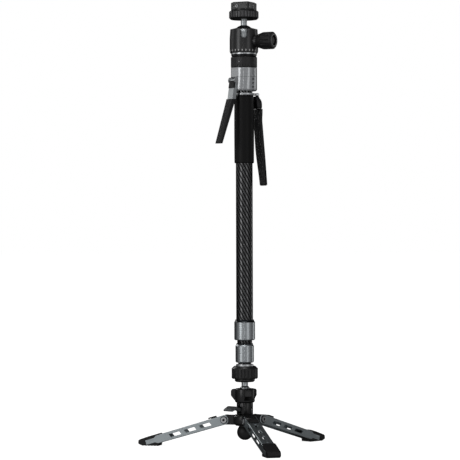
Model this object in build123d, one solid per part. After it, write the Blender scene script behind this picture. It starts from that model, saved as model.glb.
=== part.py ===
from build123d import *
import os
from math import asin, atan, cos, degrees, radians, sin, sqrt

# Camera monopod on three short folding legs, with a ball head and a quick-release plate.
# Millimetres. Z is up, the origin is on the column's axis at floor level, and -Y is the front.
# An azimuth is counted from the front (-Y) towards the right (+X), in degrees.

# Clearances
run_gap = 0.05
slide_gap = 0.15
seat_gap = 0.3
overrun = 20.0

# Base hub and rubber dome foot
dome_lift = 12.5
dome_radius = 13.3
foot_neck_radius = 10.0
foot_stud_radius = 4.0
foot_stud_length = 9.0
hub_lift = 36.8
hub_height = 17.9
hub_radius = 19.5
hub_edge = 2.2
pivot_reach = 33.5
pivot_height = 9.2
knuckle_radius = 7.7
front_azimuth = 14.4
leg_spacing = 120.0
leg_azimuths = {
    "front": front_azimuth,
    "left": front_azimuth - leg_spacing,
    "right": front_azimuth + leg_spacing,
}

# Legs: channel, rubber foot, latch and pivot screw
leg_end_height = 11.23
channel_width = 21.5
channel_wall = 1.8
root_radius = 8.0
tip_half_height = 7.1
channel_length = 121.0
web_start = 25.0
channel_edge = 0.8
tongue_taper = 6.0
tongue_half_height = 3.75
tongue_reach = 21.5
side_slot_start = 23.0
side_slot_end = 15.5
side_slot_bridge = 6.0
side_slot_height = 5.3
side_slot_slant = 2.6
slot_count = 3
web_slot_start = 31.0
web_slot_end = 12.0
web_slot_bridge = 13.0
web_slot_width = 5.0
web_hole_radius = 1.6
web_hole_margin = 10.0
foot_cap = 11.5
foot_nose_height = 4.5
foot_nose_back = 0.6
foot_toe_run = 7.5
foot_heel_run = 0.6
screw_head_radius = 4.8
screw_head_height = 1.8
screw_shaft_radius = 2.5
screw_socket_radius = 1.9
screw_socket_depth = 1.1
latch_start = 8.1
latch_length = 16.0
latch_bottom = 2.0
latch_neck_start = 15.4
latch_neck_end = 21.4
latch_tab_end = 26.6
latch_tab_bottom = 8.5
latch_tab_top = 10.8
latch_tab_width = 14.0
latch_rib_width = 0.8
latch_rib_count = 4

# Base column, pedal, plunger, disc springs and ball seat
column_radius = 13.7
column_height = 20.6
spigot_radius = 12.3
spigot_height = 9.2
guide_radius = 6.6
spring_floor = 14.3
spring_bore_radius = 10.2
seat_floor = 22.3
seat_bore_radius = 11.4
pedal_azimuth = -45.6
pedal_pin_offset = 3.0
pedal_pin_height = 9.3
pedal_pin_radius = 1.5
pedal_slot_width = 9.0
pedal_slot_low = 0.7
pedal_slot_high = 18.6
pedal_arm_width = 7.0
pedal_arm_low = 2.5
pedal_arm_high = 2.5
pedal_ring_radius = 2.5
pedal_bend_reach = 16.0
pedal_pad_inner = 28.0
pedal_pad_outer = 39.5
pedal_pad_rise = 4.6
pedal_pad_drop = 6.2
pedal_pad_thickness = 1.8
pedal_pad_width = 24.0
pedal_pad_corner = 2.5
plunger_radius = 6.5
plunger_foot = 1.4
plunger_window_low = 6.5
plunger_window_high = 6.0
plunger_rib_half = 0.8
plunger_pin_slack = 0.9
plunger_flange_radius = 9.9
plunger_flange_height = 4.7
disc_count = 4
disc_inner_radius = 6.9
disc_outer_radius = 9.7
disc_thickness = 0.45
disc_cone = 0.25
seat_height = 6.8
seat_hole_radius = 5.0

# Lower ball, its clamp collar and flange
base_ball_radius = 11.0
base_ball_height = 12.7
base_neck_radius = 6.0
cone_lip_radius = 8.0
cone_lip_height = 1.4
base_stem_radius = 5.5
base_stem_top = 21.6
base_stud_radius = 4.0
base_stud_length = 12.0
tilt_collar_radius = 16.6
tilt_collar_height = 23.2
tilt_collar_edge = 1.6
tilt_dish_depth = 6.4
tilt_dish_mouth = 13.6
lobe_radius = 22.8
lobe_width = 10.5
lobe_base_height = 3.6
lobe_face_low = 11.2
lobe_face_high = 19.6
lobe_crown = 2.4
base_flange_radius = 16.75
base_flange_height = 5.3
base_flange_edge = 2.0
pan_spigot_radius = 9.0
pan_spigot_length = 18.0

# Thinnest tube, its end fitting and the knurled lock collar round it
tube_wall = 1.2
tube_3_radius = 11.0
fitting_radius = 16.9
fitting_height = 18.6
fitting_seat = 6.7
pan_collar_radius = 21.9
pan_collar_height = 21.0
pan_collar_lip = 2.0
pan_collar_lip_radius = 14.9
pan_collar_top_edge = 4.0
pan_collar_low_edge = 1.2
pan_groove_count = 24
pan_groove_radius = 1.0
end_ring_radius = 14.5
end_ring_height = 2.8

# Middle tube, middle and upper end collars, guide bushes
tube_2_radius = 12.5
tube_1_radius = 14.0
collar_2_lift = 3.0
collar_2_radius = 15.4
collar_2_height = 31.7
collar_1_lift = 5.6
collar_1_radius = 17.3
collar_1_height = 34.0
collar_edge = 1.4
collar_top_taper = 4.0
collar_top_step = 1.6
collar_lip = 2.4
bush_height = 8.0
bush_wall = 2.0
section_travel = 340.0

# Lock plugs, split rings, release rod and cams inside the tubes
tube_1_top = 604.0
plug_drop = 41.0
plug_sleeve = 15.0
plug_flange = 3.0
plug_wall = 2.0
plug_step = 16.5
lock_ring_height = 7.0
lock_ring_wall = 2.4
lock_ring_split = 3.0
cam_flat = 0.35
cam_cap = 1.4
rod_half_flat = 3.0
release_tube_bore = 3.2
release_tube_half_flat = 4.5
cam_3_bore = 4.7
rod_bottom = 204.0
release_tube_bottom = 180.0
hex_sides = 6

# Release housing, grip sleeve and strap ring
grip_radius = 16.4
grip_bottom = 473.6
grip_top = 586.0
grip_edge = 1.2
strap_ring_radius = 20.5
strap_ring_height = 3.0
strap_ring_lift = 1.0
strap_ring_gap_start = -86.0
strap_ring_gap_end = -14.0
strap_azimuth = 110.0
strap_lug_reach = 25.4
strap_lug_width = 9.0
strap_pin_radius = 1.2
strap_pin_reach = 23.2
housing_bottom = 594.0
housing_height = 38.5
housing_radius = 21.7
housing_low_edge = 1.8
housing_top_edge = 0.6
chamber_radius = 12.0
chamber_roof = 5.0
facet_reach = 19.7
facet_height = 15.5
shaft_hole_count = 3
side_hole_azimuth = 25.0
side_hole_radius = 1.1
side_hole_depth = 1.5
side_hole_pitch = 6.6
side_hole_height = 10.0
side_groove_azimuth = 14.0
side_groove_width = 1.2
side_groove_depth = 0.5

# Hand lever, its rubber grip and the parts that it moves
lever_azimuth = -50.0
lever_pin_reach = 22.5
lever_pin_height = 17.0
lever_pin_radius = 1.5
lever_width = 12.5
lever_barrel_radius = 3.6
lug_wall = 2.4
lug_low = 7.0
lug_high = 5.0
lug_reach = 3.9
lever_head_top = 14.0
lever_head_bottom = 31.5
lever_head_inner = -1.9
lever_head_outer = 5.8
lever_grip_bottom = 105.5
lever_grip_top_inner = 0.4
lever_grip_top_outer = 11.4
lever_grip_low_inner = 28.9
lever_grip_low_outer = 35.6
lever_grip_width = 14.0
lever_grip_round = 2.6
lever_core_thickness = 3.0
lever_core_length = 68.0
lever_finger_width = 5.0
lever_finger_half = 1.5
lever_finger_reach = 15.0
sleeve_bore = 4.1
sleeve_radius = 8.0
sleeve_flange_radius = 10.0
sleeve_flange_height = 2.0
sleeve_head_room = 2.8
sleeve_lift_stroke = 2.9
sleeve_pin_radius = 0.8
sleeve_pin_depth = 1.1
rod_journal_radius = 4.0
rod_turn = 30.0
groove_slack = 0.3

# Strap clip and folded webbing loop
clip_top = 586.0
clip_height = 24.0
clip_eye_radius = 2.5
clip_thickness = 4.0
clip_width = 16.0
clip_eye_width = 6.0
strap_lean = 4.4
webbing_top = 573.0
webbing_bottom = 435.0
webbing_width = 22.0
webbing_layer = 1.5
webbing_gap = 1.5

# Lock collar, head platform and head base
lock_collar_radius = 21.9
lock_collar_height = 18.0
lock_collar_edge = 0.9
lock_groove_count = 30
lock_groove_radius = 0.55
lock_groove_height = 5.0
platform_shank_radius = 15.0
platform_radius = 20.9
platform_height = 2.6
platform_edge = 1.3
head_stud_radius = 4.76
head_stud_length = 8.0
head_base_radius = 21.4
head_base_height = 3.4
head_boss_radius = 12.0
head_boss_height = 6.6

# Ball head
head_body_low_radius = 22.7
head_body_radius = 23.8
head_body_top_radius = 22.7
head_body_height = 42.2
head_low_edge = 3.2
head_straight = 24.0
head_top_edge = 2.6
head_ball_radius = 18.0
head_ball_height_share = 0.6943128
head_cavity_floor = 8.2
notch_width = 12.8
head_stem_radius = 5.2
head_stem_length = 26.9
ball_stud_radius = 3.4
ball_stud_length = 10.0
cup_height = 11.0
cup_hole_radius = 9.0
knob_azimuth = 61.0
knob_drop = 10.0
knob_screw_radius = 4.0
knob_screw_end = 17.4
knob_boss_radius = 9.8
knob_boss_reach = 27.0
knob_small_radius = 11.0
knob_radius = 14.4
knob_cone_end = 38.0
knob_end = 56.5
knob_edge = 2.0
knob_recess_radius = 8.8
knob_recess_depth = 3.0
knob_cap_radius = 5.0
knob_groove_count = 12
knob_groove_radius = 1.3

# Quick-release clamp, jaw, plate and camera screw
clamp_ring_radius = 24.6
clamp_ring_height = 14.0
clamp_ring_low_edge = 2.6
clamp_ring_top_edge = 1.4
clamp_rib_count = 8
clamp_rib_groove_radius = 1.6
clamp_rib_spread = 5.0
clamp_post_radius = 8.0
waist_radius = 21.3
waist_height = 3.0
clamp_azimuth = -26.2
clamp_side = 33.2
clamp_corner = 2.5
clamp_slab = 3.4
jaw_height = 3.6
jaw_inner = 11.6
jaw_slope = 2.0
jaw_travel = 1.2
jaw_key_width = 8.0
jaw_key_depth = 1.6
plate_side = 33.2
plate_foot_half = 12.9
plate_waist_half = 10.9
plate_thickness = 3.4
plate_edge = 0.8
plate_pad_thickness = 1.0
plate_pad_inset = 2.2
plate_pad_grooves = 4
plate_pad_groove_width = 1.2
plate_pad_groove_depth = 0.5
camera_screw_radius = 3.175
camera_screw_head_radius = 7.0
camera_screw_head_height = 2.0
camera_screw_slot = 1.6
camera_screw_slot_depth = 1.0
camera_screw_lift = 4.7

# Heights and sizes that follow from the ones above
hub_top = hub_lift + hub_height
pivot_z = hub_lift + pivot_height
leg_slope = degrees(asin((pivot_z - leg_end_height) / channel_length))
tongue_length = channel_length + tongue_reach
foot_length = tongue_length + foot_cap
side_slot_pitch = (channel_length - side_slot_start - side_slot_end) / slot_count
side_slot_length = side_slot_pitch - side_slot_bridge
web_slot_pitch = (channel_length - web_slot_start - web_slot_end) / slot_count
web_slot_length = web_slot_pitch - web_slot_bridge
column_top = hub_top + column_height
spigot_top = column_top + spigot_height
pedal_z = hub_top + pedal_pin_height
tilt_collar_bottom = column_top + slide_gap
tilt_collar_top = tilt_collar_bottom + tilt_collar_height
base_ball_z = column_top + base_ball_height
base_flange_bottom = base_ball_z + base_stem_top
base_flange_top = base_flange_bottom + base_flange_height
fitting_bottom = base_flange_top + slide_gap
fitting_top = fitting_bottom + fitting_height
tube_3_bottom = fitting_bottom + fitting_seat
pan_collar_bottom = fitting_bottom
pan_collar_top = pan_collar_bottom + pan_collar_height
end_ring_bottom = pan_collar_top + slide_gap
end_ring_top = end_ring_bottom + end_ring_height
collar_2_bottom = end_ring_top + collar_2_lift
collar_2_top = collar_2_bottom + collar_2_height
collar_1_bottom = collar_2_top + collar_1_lift
collar_1_top = collar_1_bottom + collar_1_height
tube_2_bottom = collar_2_bottom + collar_lip + bush_height + seat_gap
tube_1_bottom = collar_1_bottom + collar_lip + bush_height + seat_gap
tube_2_top = tube_1_top - plug_drop
tube_3_top = tube_2_top - plug_sleeve - plug_step
housing_top = housing_bottom + housing_height
lever_z = housing_bottom + lever_pin_height
sleeve_bottom = lever_z + lever_finger_half + seat_gap
sleeve_top = housing_top - chamber_roof - sleeve_lift_stroke - sleeve_head_room
strap_ring_bottom = grip_top + strap_ring_lift
strap_ring_top = strap_ring_bottom + strap_ring_height
lock_collar_bottom = housing_top + slide_gap
lock_collar_top = lock_collar_bottom + lock_collar_height
platform_bottom = lock_collar_top + slide_gap
platform_top = platform_bottom + platform_height
head_base_top = platform_top + head_base_height
head_bottom = head_base_top + slide_gap
head_top = head_bottom + head_body_height
head_ball_z = head_bottom + head_ball_height_share * head_body_height
knob_z = head_ball_z - knob_drop
clamp_bottom = head_ball_z + head_stem_length
clamp_ring_top = clamp_bottom + clamp_ring_height
waist_bottom = clamp_ring_top + slide_gap
waist_top = waist_bottom + waist_height
slab_top = waist_top + clamp_slab
jaw_top = slab_top + jaw_height
plate_bottom = slab_top + slide_gap
plate_low = jaw_top + slide_gap
plate_top = plate_low + plate_thickness
pad_top = plate_top + plate_pad_thickness


def disc(radius, bottom, top):
    """An upright cylinder on the column's axis."""
    return Pos(0, 0, bottom) * extrude(Circle(radius), top - bottom)


def ring(outer, inner, bottom, top):
    """An upright ring on the column's axis."""
    return Pos(0, 0, bottom) * extrude(Circle(outer) - Circle(inner), top - bottom)


def turned(*points):
    """A solid turned about the column's axis from (radius, height) points."""
    return revolve(Plane.XZ * make_face(Polyline(*points, close=True)), Axis.Z)


def ball(radius, height):
    return Pos(0, 0, height) * Sphere(radius)


def hexagon(half_flat, bottom, top):
    """An upright hexagonal bar, measured to its flats."""
    outline = RegularPolygon(half_flat, hex_sides, major_radius=False)
    return Pos(0, 0, bottom) * extrude(outline, top - bottom)


def block(x_low, x_high, width, z_low, z_high):
    """A box between two places along X and two heights, centred on Y."""
    size = Box(x_high - x_low, width, z_high - z_low)
    return Pos((x_low + x_high) / 2, 0, (z_low + z_high) / 2) * size


def upright(width, *points):
    """A plate of this width, centred on the XZ plane, from (x, z) points."""
    face = Plane.XZ * make_face(Polyline(*points, close=True))
    return extrude(face, width / 2, both=True)


def across(radius, x, z, length):
    """A bar along Y, centred on the XZ plane."""
    return Pos(x, 0, z) * Rot(90, 0, 0) * Cylinder(radius, length)


def outward(radius, start, end, z):
    """A bar along X from start to end."""
    return Pos((start + end) / 2, 0, z) * Rot(0, 90, 0) * Cylinder(radius, end - start)


def facing(azimuth):
    """Turns what was made along +X to face this azimuth."""
    return Rot(0, 0, azimuth - 90)


def around(count):
    return [Rot(0, 0, 360 * i / count) for i in range(count)]


# Base hub, column and rubber foot
def base_hub():
    low, high = hub_lift, hub_top
    hub = turned(
        (0, low),
        (hub_radius - 2 * hub_edge, low),
        (hub_radius, low + 2 * hub_edge),
        (hub_radius, high - hub_edge),
        (hub_radius - hub_edge, high),
        (0, high),
    )
    knuckle_width = channel_width - 2 * (channel_wall + slide_gap)
    arm = block(0, pivot_reach, knuckle_width, pivot_z - knuckle_radius, pivot_z + knuckle_radius)
    arm += across(knuckle_radius, pivot_reach, pivot_z, knuckle_width)
    arm -= across(screw_shaft_radius, pivot_reach, pivot_z, channel_width)
    for azimuth in leg_azimuths.values():
        hub += facing(azimuth) * arm
    return hub - disc(foot_stud_radius, low - overrun, low + foot_stud_length)


def dome_foot():
    centre = dome_lift + dome_radius
    dome = ball(dome_radius, centre) - disc(dome_radius, hub_lift, hub_lift + overrun)
    foot = dome + disc(foot_neck_radius, centre, hub_lift)
    return foot + disc(foot_stud_radius, centre, hub_lift + foot_stud_length)


def base_column():
    spring_z, seat_z = hub_top + spring_floor, hub_top + seat_floor
    column = disc(column_radius, hub_top, column_top) + disc(spigot_radius, hub_top, spigot_top)
    column -= disc(guide_radius, hub_top - overrun, spigot_top)
    column -= disc(spring_bore_radius, spring_z, spigot_top)
    column -= disc(seat_bore_radius, seat_z, spigot_top + overrun)
    slot = block(0, column_radius + overrun, pedal_slot_width,
                 hub_top + pedal_slot_low, hub_top + pedal_slot_high)
    pin_hole = across(pedal_pin_radius, -pedal_pin_offset, pedal_z, 2 * column_radius)
    return column - facing(pedal_azimuth) * (slot + pin_hole)


def pedal_pin():
    half = sqrt(column_radius ** 2 - pedal_pin_offset ** 2)
    return facing(pedal_azimuth) * across(pedal_pin_radius, -pedal_pin_offset, pedal_z, 2 * half)


def pedal():
    low, high = pedal_z - pedal_arm_low, pedal_z + pedal_arm_high
    arm = block(-pedal_pin_offset, pedal_bend_reach, pedal_arm_width, low, high)
    arm += across(pedal_ring_radius, -pedal_pin_offset, pedal_z, pedal_arm_width)
    top = pedal_z + pedal_pad_rise
    neck = upright(
        pedal_arm_width,
        (pedal_bend_reach - pedal_arm_low, low),
        (pedal_bend_reach, low),
        (pedal_pad_inner + pedal_pad_thickness, top - pedal_pad_thickness),
        (pedal_pad_inner, top + pedal_pad_thickness / 2),
        (pedal_bend_reach - pedal_arm_low, high),
    )
    pad = upright(
        pedal_pad_width,
        (pedal_pad_inner, top),
        (pedal_pad_outer, top - pedal_pad_drop),
        (pedal_pad_outer, top - pedal_pad_drop + pedal_pad_thickness),
        (pedal_pad_inner, top + pedal_pad_thickness),
    )
    corners = [e for e in pad.edges() if abs(e.tangent_at(0).Y) < sin(radians(1))
               and e.length < 2 * pedal_pad_thickness]
    pad = fillet(corners, pedal_pad_corner)
    hole = across(pedal_pin_radius + run_gap, -pedal_pin_offset, pedal_z, channel_width)
    return facing(pedal_azimuth) * (arm + neck + pad - hole)


def seat_plunger():
    seat_z = hub_top + seat_floor
    flange_low = seat_z - seat_gap - plunger_flange_height
    body = disc(plunger_radius, hub_top + plunger_foot, flange_low)
    window = block(-overrun, overrun, pedal_arm_width + 2 * slide_gap,
                   pedal_z - plunger_window_low, pedal_z + plunger_window_high)
    body -= window
    body += block(-plunger_rib_half, plunger_rib_half, pedal_arm_width + channel_wall,
                  pedal_z - plunger_window_low, pedal_z - pedal_arm_low - seat_gap)
    pin_space = pedal_pin_radius + slide_gap
    body -= block(-pedal_pin_offset - pin_space, -pedal_pin_offset + pin_space, overrun,
                  pedal_z - pin_space, pedal_z + pin_space + plunger_pin_slack)
    flange = disc(plunger_flange_radius, flange_low, seat_z - seat_gap)
    return facing(pedal_azimuth) * (body + flange)


def cup_springs():
    step = disc_thickness + disc_cone + run_gap
    floor = hub_top + spring_floor
    springs = []
    for i in range(disc_count):
        low = floor + i * step
        inner, outer = (disc_cone, 0) if i % 2 else (0, disc_cone)
        springs.append(turned(
            (disc_inner_radius, low + inner),
            (disc_outer_radius, low + outer),
            (disc_outer_radius, low + outer + disc_thickness),
            (disc_inner_radius, low + inner + disc_thickness),
        ))
    return Compound(children=springs)


def ball_seat():
    low = hub_top + seat_floor
    seat = ring(seat_bore_radius - run_gap, seat_hole_radius, low, low + seat_height)
    return seat - ball(base_ball_radius + run_gap, base_ball_z)


# Lower ball with its clamp collar and flange
def base_ball_stem():
    ball_top = base_ball_z + base_ball_radius
    cone_top = ball_top + cone_lip_height + cone_lip_radius - base_stem_radius
    stem = turned(
        (0, base_ball_z),
        (base_neck_radius, base_ball_z),
        (base_neck_radius, ball_top),
        (cone_lip_radius, ball_top),
        (cone_lip_radius, ball_top + cone_lip_height),
        (base_stem_radius, cone_top),
        (base_stem_radius, base_flange_bottom),
        (base_stud_radius, base_flange_bottom),
        (base_stud_radius, base_flange_bottom + base_stud_length),
        (0, base_flange_bottom + base_stud_length),
    )
    return stem + ball(base_ball_radius, base_ball_z)


def tilt_lock_collar():
    low, high = tilt_collar_bottom, tilt_collar_top
    collar = turned(
        (0, low),
        (tilt_collar_radius - tilt_collar_edge, low),
        (tilt_collar_radius, low + tilt_collar_edge),
        (tilt_collar_radius, high - tilt_collar_edge),
        (tilt_collar_radius - tilt_collar_edge, high),
        (0, high),
    )
    lobe = upright(
        lobe_width,
        (spigot_radius + run_gap, low + lobe_base_height),
        (tilt_collar_radius, low + lobe_base_height),
        (lobe_radius, low + lobe_face_low),
        (lobe_radius, low + lobe_face_high),
        (lobe_radius - lobe_crown, low + lobe_face_high + lobe_crown),
        (spigot_radius + run_gap, low + lobe_face_high + lobe_crown),
    )
    for azimuth in leg_azimuths.values():
        collar += facing(azimuth) * lobe
    cavity = base_ball_radius + run_gap
    dish_low = high - tilt_dish_depth
    dish_radius = sqrt(cavity ** 2 - (dish_low - base_ball_z) ** 2)
    collar -= disc(spigot_radius + run_gap, low - overrun, spigot_top + seat_gap)
    collar -= disc(cavity, spigot_top, base_ball_z) + ball(cavity, base_ball_z)
    return collar - turned((0, dish_low), (dish_radius, dish_low), (tilt_dish_mouth, high), (0, high))


def base_flange():
    low, high = base_flange_bottom, base_flange_top
    flange = turned(
        (0, low),
        (base_flange_radius - base_flange_edge, low),
        (base_flange_radius, low + base_flange_edge),
        (base_flange_radius, high),
        (pan_spigot_radius, high),
        (pan_spigot_radius, high + pan_spigot_length),
        (0, high + pan_spigot_length),
    )
    return flange - disc(base_stud_radius, low - overrun, low + base_stud_length)


# Legs
def leg_plane():
    """The leg's own plane: x along the leg from its pivot, y square to it, upwards."""
    slope = radians(leg_slope)
    return Plane(origin=(pivot_reach, 0, pivot_z), x_dir=(cos(slope), 0, -sin(slope)), z_dir=(0, -1, 0))


def leg_plate(width, *points):
    """A plate of this width, centred on the leg, from points in its own plane."""
    return extrude(leg_plane() * make_face(Polyline(*points, close=True)), width / 2, both=True)


def leg_bar(radius, x, y, length):
    return extrude(leg_plane() * (Pos(x, y) * Circle(radius)), length / 2, both=True)


def leg_point(x, y):
    """(reach, height) of a point given in the leg's own plane."""
    slope = radians(leg_slope)
    return pivot_reach + x * cos(slope) + y * sin(slope), pivot_z - x * sin(slope) + y * cos(slope)


def channel_shape():
    taper_end = channel_length + tongue_taper
    return (
        (0, root_radius),
        (channel_length, tip_half_height),
        (taper_end, tongue_half_height),
        (tongue_length, tongue_half_height),
        (tongue_length, -tongue_half_height),
        (taper_end, -tongue_half_height),
        (channel_length, -tip_half_height),
        (0, -root_radius),
    )


def leg_channel():
    channel = leg_plate(channel_width, *channel_shape()) + leg_bar(root_radius, 0, 0, channel_width)
    top_edges = [e for e in channel.edges() if e.length > channel_length / 2
                 and (e @ 0.5).Z > pivot_z - channel_length / 2 * sin(radians(leg_slope))]
    channel = chamfer(top_edges, channel_edge)
    inner = channel_width - 2 * channel_wall
    roof = tip_half_height - channel_wall
    channel -= leg_plate(
        inner,
        (-overrun, -overrun),
        (tongue_length + overrun, -overrun),
        (tongue_length + overrun, overrun),
        (channel_length, overrun),
        (channel_length, roof),
        (web_start, roof),
        (web_start, overrun),
        (-overrun, overrun),
    )
    channel -= leg_bar(screw_shaft_radius + run_gap, 0, 0, channel_width)
    half = side_slot_height / 2
    for i in range(slot_count):
        start = side_slot_start + i * side_slot_pitch
        end = start + side_slot_length
        channel -= leg_plate(
            channel_width + overrun,
            (start, -half),
            (end - side_slot_slant, -half),
            (end, half),
            (start + side_slot_slant, half),
        )
        middle = web_slot_start + i * web_slot_pitch + web_slot_length / 2
        straight = (web_slot_length - web_slot_width) / 2
        for x in (middle - straight, middle + straight):
            channel -= web_hole(x, web_slot_width / 2)
        channel -= leg_plate(web_slot_width, (middle - straight, 0), (middle + straight, 0),
                             (middle + straight, overrun), (middle - straight, overrun))
    return channel - web_hole(channel_length - web_hole_margin, web_hole_radius)


def web_hole(x, radius):
    """A hole through the web, square to the leg."""
    plane = leg_plane()
    start = plane.origin + plane.x_dir * x
    return extrude(Plane(origin=start, x_dir=plane.x_dir, z_dir=plane.y_dir) * Circle(radius), overrun)


def leg_foot():
    heel = leg_point(channel_length, -tip_half_height)
    toe = leg_point(foot_length, tip_half_height)
    nose_reach = toe[0] - foot_nose_back
    return upright(
        channel_width,
        leg_point(channel_length, tip_half_height),
        toe,
        (nose_reach, foot_nose_height),
        (nose_reach - foot_toe_run, 0),
        (heel[0] + foot_heel_run, 0),
        heel,
    )


def leg_latch():
    width = channel_width - 2 * (channel_wall + slide_gap)
    top = tip_half_height - channel_wall - slide_gap
    latch = leg_plate(
        width,
        (latch_start, -latch_bottom),
        (latch_start + latch_length, -latch_bottom),
        (latch_start + latch_length, top),
        (latch_start, top),
    )
    latch += leg_plate(
        latch_tab_width,
        (latch_neck_start, 0),
        (latch_neck_end, 0),
        (latch_neck_end, latch_tab_bottom),
        (latch_tab_end, latch_tab_bottom),
        (latch_tab_end, latch_tab_top - latch_rib_width),
        (latch_tab_end - latch_rib_width, latch_tab_top),
        (latch_neck_start, latch_tab_top),
    )
    pitch = (latch_tab_end - latch_neck_start) / (latch_rib_count + 1)
    for i in range(latch_rib_count):
        x = latch_neck_start + (i + 1) * pitch
        latch -= leg_bar(latch_rib_width, x, latch_tab_top, latch_tab_width)
    return latch


def leg_pivot_screw():
    length = channel_width + 2 * screw_head_height
    screw = across(screw_shaft_radius, pivot_reach, pivot_z, length)
    head_place = (channel_width + screw_head_height) / 2 + slide_gap / 2
    socket = extrude(RegularPolygon(screw_socket_radius, hex_sides), screw_socket_depth)
    for side in (-1, 1):
        head = Pos(0, side * head_place, 0) * across(screw_head_radius, pivot_reach, pivot_z,
                                                      screw_head_height - slide_gap)
        face = Plane(origin=(pivot_reach, side * length / 2, pivot_z), z_dir=(0, -side, 0))
        screw += head
        screw -= face * socket
    return screw


# Tubes, end collars, bushes, plugs and lock rings
def tube(radius, bottom, top):
    return ring(radius, radius - tube_wall, bottom, top)


def pan_fitting():
    fitting = ring(fitting_radius, pan_spigot_radius + run_gap, fitting_bottom, fitting_top)
    return fitting - disc(tube_3_radius, tube_3_bottom, fitting_top + overrun)


def pan_lock_collar():
    low, high = pan_collar_bottom, pan_collar_top
    collar = turned(
        (fitting_radius + slide_gap, low),
        (pan_collar_radius - pan_collar_low_edge, low),
        (pan_collar_radius, low + pan_collar_low_edge),
        (pan_collar_radius, high - pan_collar_top_edge),
        (pan_collar_radius - pan_collar_top_edge, high),
        (pan_collar_lip_radius, high),
        (pan_collar_lip_radius, high - pan_collar_lip),
        (fitting_radius + slide_gap, high - pan_collar_lip),
    )
    groove = Pos(pan_collar_radius, 0, 0) * disc(
        pan_groove_radius, low + 2 * pan_collar_low_edge, high - pan_collar_top_edge - pan_collar_low_edge)
    return collar - [turn * groove for turn in around(pan_groove_count)]


def end_collar(radius, bottom, top, outer_tube, inner_tube):
    """The turned collar on the lower end of a tube, with room for its guide bush."""
    low_edge, bush_radius = collar_edge, inner_tube + bush_wall
    collar = turned(
        (inner_tube + seat_gap, bottom),
        (radius - low_edge, bottom),
        (radius, bottom + low_edge),
        (radius, top - collar_top_taper),
        (radius - collar_top_step, top - collar_top_taper / 2),
        (radius - collar_top_step, top),
        (outer_tube, top),
        (outer_tube, bottom + collar_lip + bush_height + seat_gap),
        (bush_radius, bottom + collar_lip + bush_height + seat_gap),
        (bush_radius, bottom + collar_lip),
        (inner_tube + seat_gap, bottom + collar_lip),
    )
    return collar


def guide_bush(bottom, inner_tube):
    low = bottom + collar_lip
    return ring(inner_tube + bush_wall, inner_tube + run_gap, low, low + bush_height)


def lock_plug(tube_radius, tube_top, bore):
    """The plug in the top of a tube, whose flange carries the split lock ring."""
    inside = tube_radius - tube_wall
    plug = ring(inside, inside - plug_wall, tube_top - plug_sleeve, tube_top)
    plug += ring(tube_radius, bore, tube_top, tube_top + plug_flange)
    return plug


def lock_ring(outer, bottom):
    split = block(0, outer + overrun, lock_ring_split, bottom, bottom + lock_ring_height)
    return ring(outer, outer - lock_ring_wall, bottom, bottom + lock_ring_height) - split


def cam(ring_radius, bottom, half_flat):
    """An oval cam inside a lock ring, with a cap that holds the ring down."""
    inside = ring_radius - lock_ring_wall - run_gap
    top = bottom + lock_ring_height + slide_gap
    oval = extrude(Ellipse(inside, inside - cam_flat), top - bottom - slide_gap)
    shape = Pos(0, 0, bottom + slide_gap) * oval + disc(inside + lock_ring_wall / 2, top, top + cam_cap)
    return shape - hexagon(half_flat, bottom - overrun, top + overrun)


ring_2_bottom = tube_2_top + plug_flange + run_gap
ring_3_bottom = tube_3_top + plug_flange + run_gap
ring_2_radius = tube_1_radius - tube_wall - run_gap
ring_3_radius = tube_2_radius - tube_wall - run_gap
hex_corner = 1 / cos(radians(30))


def release_tube():
    """The hexagonal tube that turns with the upper cam and hangs down to the lower one."""
    bar = hexagon(release_tube_half_flat, release_tube_bottom, ring_2_bottom + slide_gap)
    bar += cam(ring_2_radius, ring_2_bottom, release_tube_bore)
    return bar - hexagon(release_tube_bore, release_tube_bottom - overrun, ring_2_bottom + overrun)


def release_rod():
    """The rod that the lever turns: hexagonal below, round with a slanting groove above."""
    floor = tube_1_top + seat_gap
    roof = housing_top - chamber_roof
    rod = hexagon(rod_half_flat, rod_bottom, floor + run_gap)
    rod += disc(rod_journal_radius, floor, roof)
    pin_low = (sleeve_bottom + sleeve_top) / 2
    turn_length = rod_journal_radius * radians(rod_turn)
    slant = degrees(atan(turn_length / sleeve_lift_stroke))
    run = sqrt(turn_length ** 2 + sleeve_lift_stroke ** 2)
    half = sleeve_pin_radius + groove_slack
    groove = Box(2 * sleeve_pin_depth + 2 * groove_slack, 2 * half, run + 2 * half)
    groove = Pos(rod_journal_radius, 0, 0) * Rot(slant, 0, 0) * groove
    return rod - Rot(0, 0, -rod_turn / 2) * Pos(0, 0, pin_low + sleeve_lift_stroke / 2) * groove


def shift_sleeve():
    low, high = sleeve_bottom, sleeve_top
    sleeve = ring(sleeve_radius, sleeve_bore, low, high)
    sleeve += ring(sleeve_flange_radius, sleeve_bore, low, low + sleeve_flange_height)
    return sleeve + outward(sleeve_pin_radius, rod_journal_radius - sleeve_pin_depth, sleeve_radius,
                            (low + high) / 2)


# Release housing, grip, strap ring and hand lever
def grip_sleeve():
    return turned(
        (tube_1_radius, grip_bottom),
        (grip_radius - grip_edge, grip_bottom),
        (grip_radius, grip_bottom + grip_edge),
        (grip_radius, grip_top - grip_edge),
        (grip_radius - grip_edge, grip_top),
        (tube_1_radius, grip_top),
    )


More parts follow.
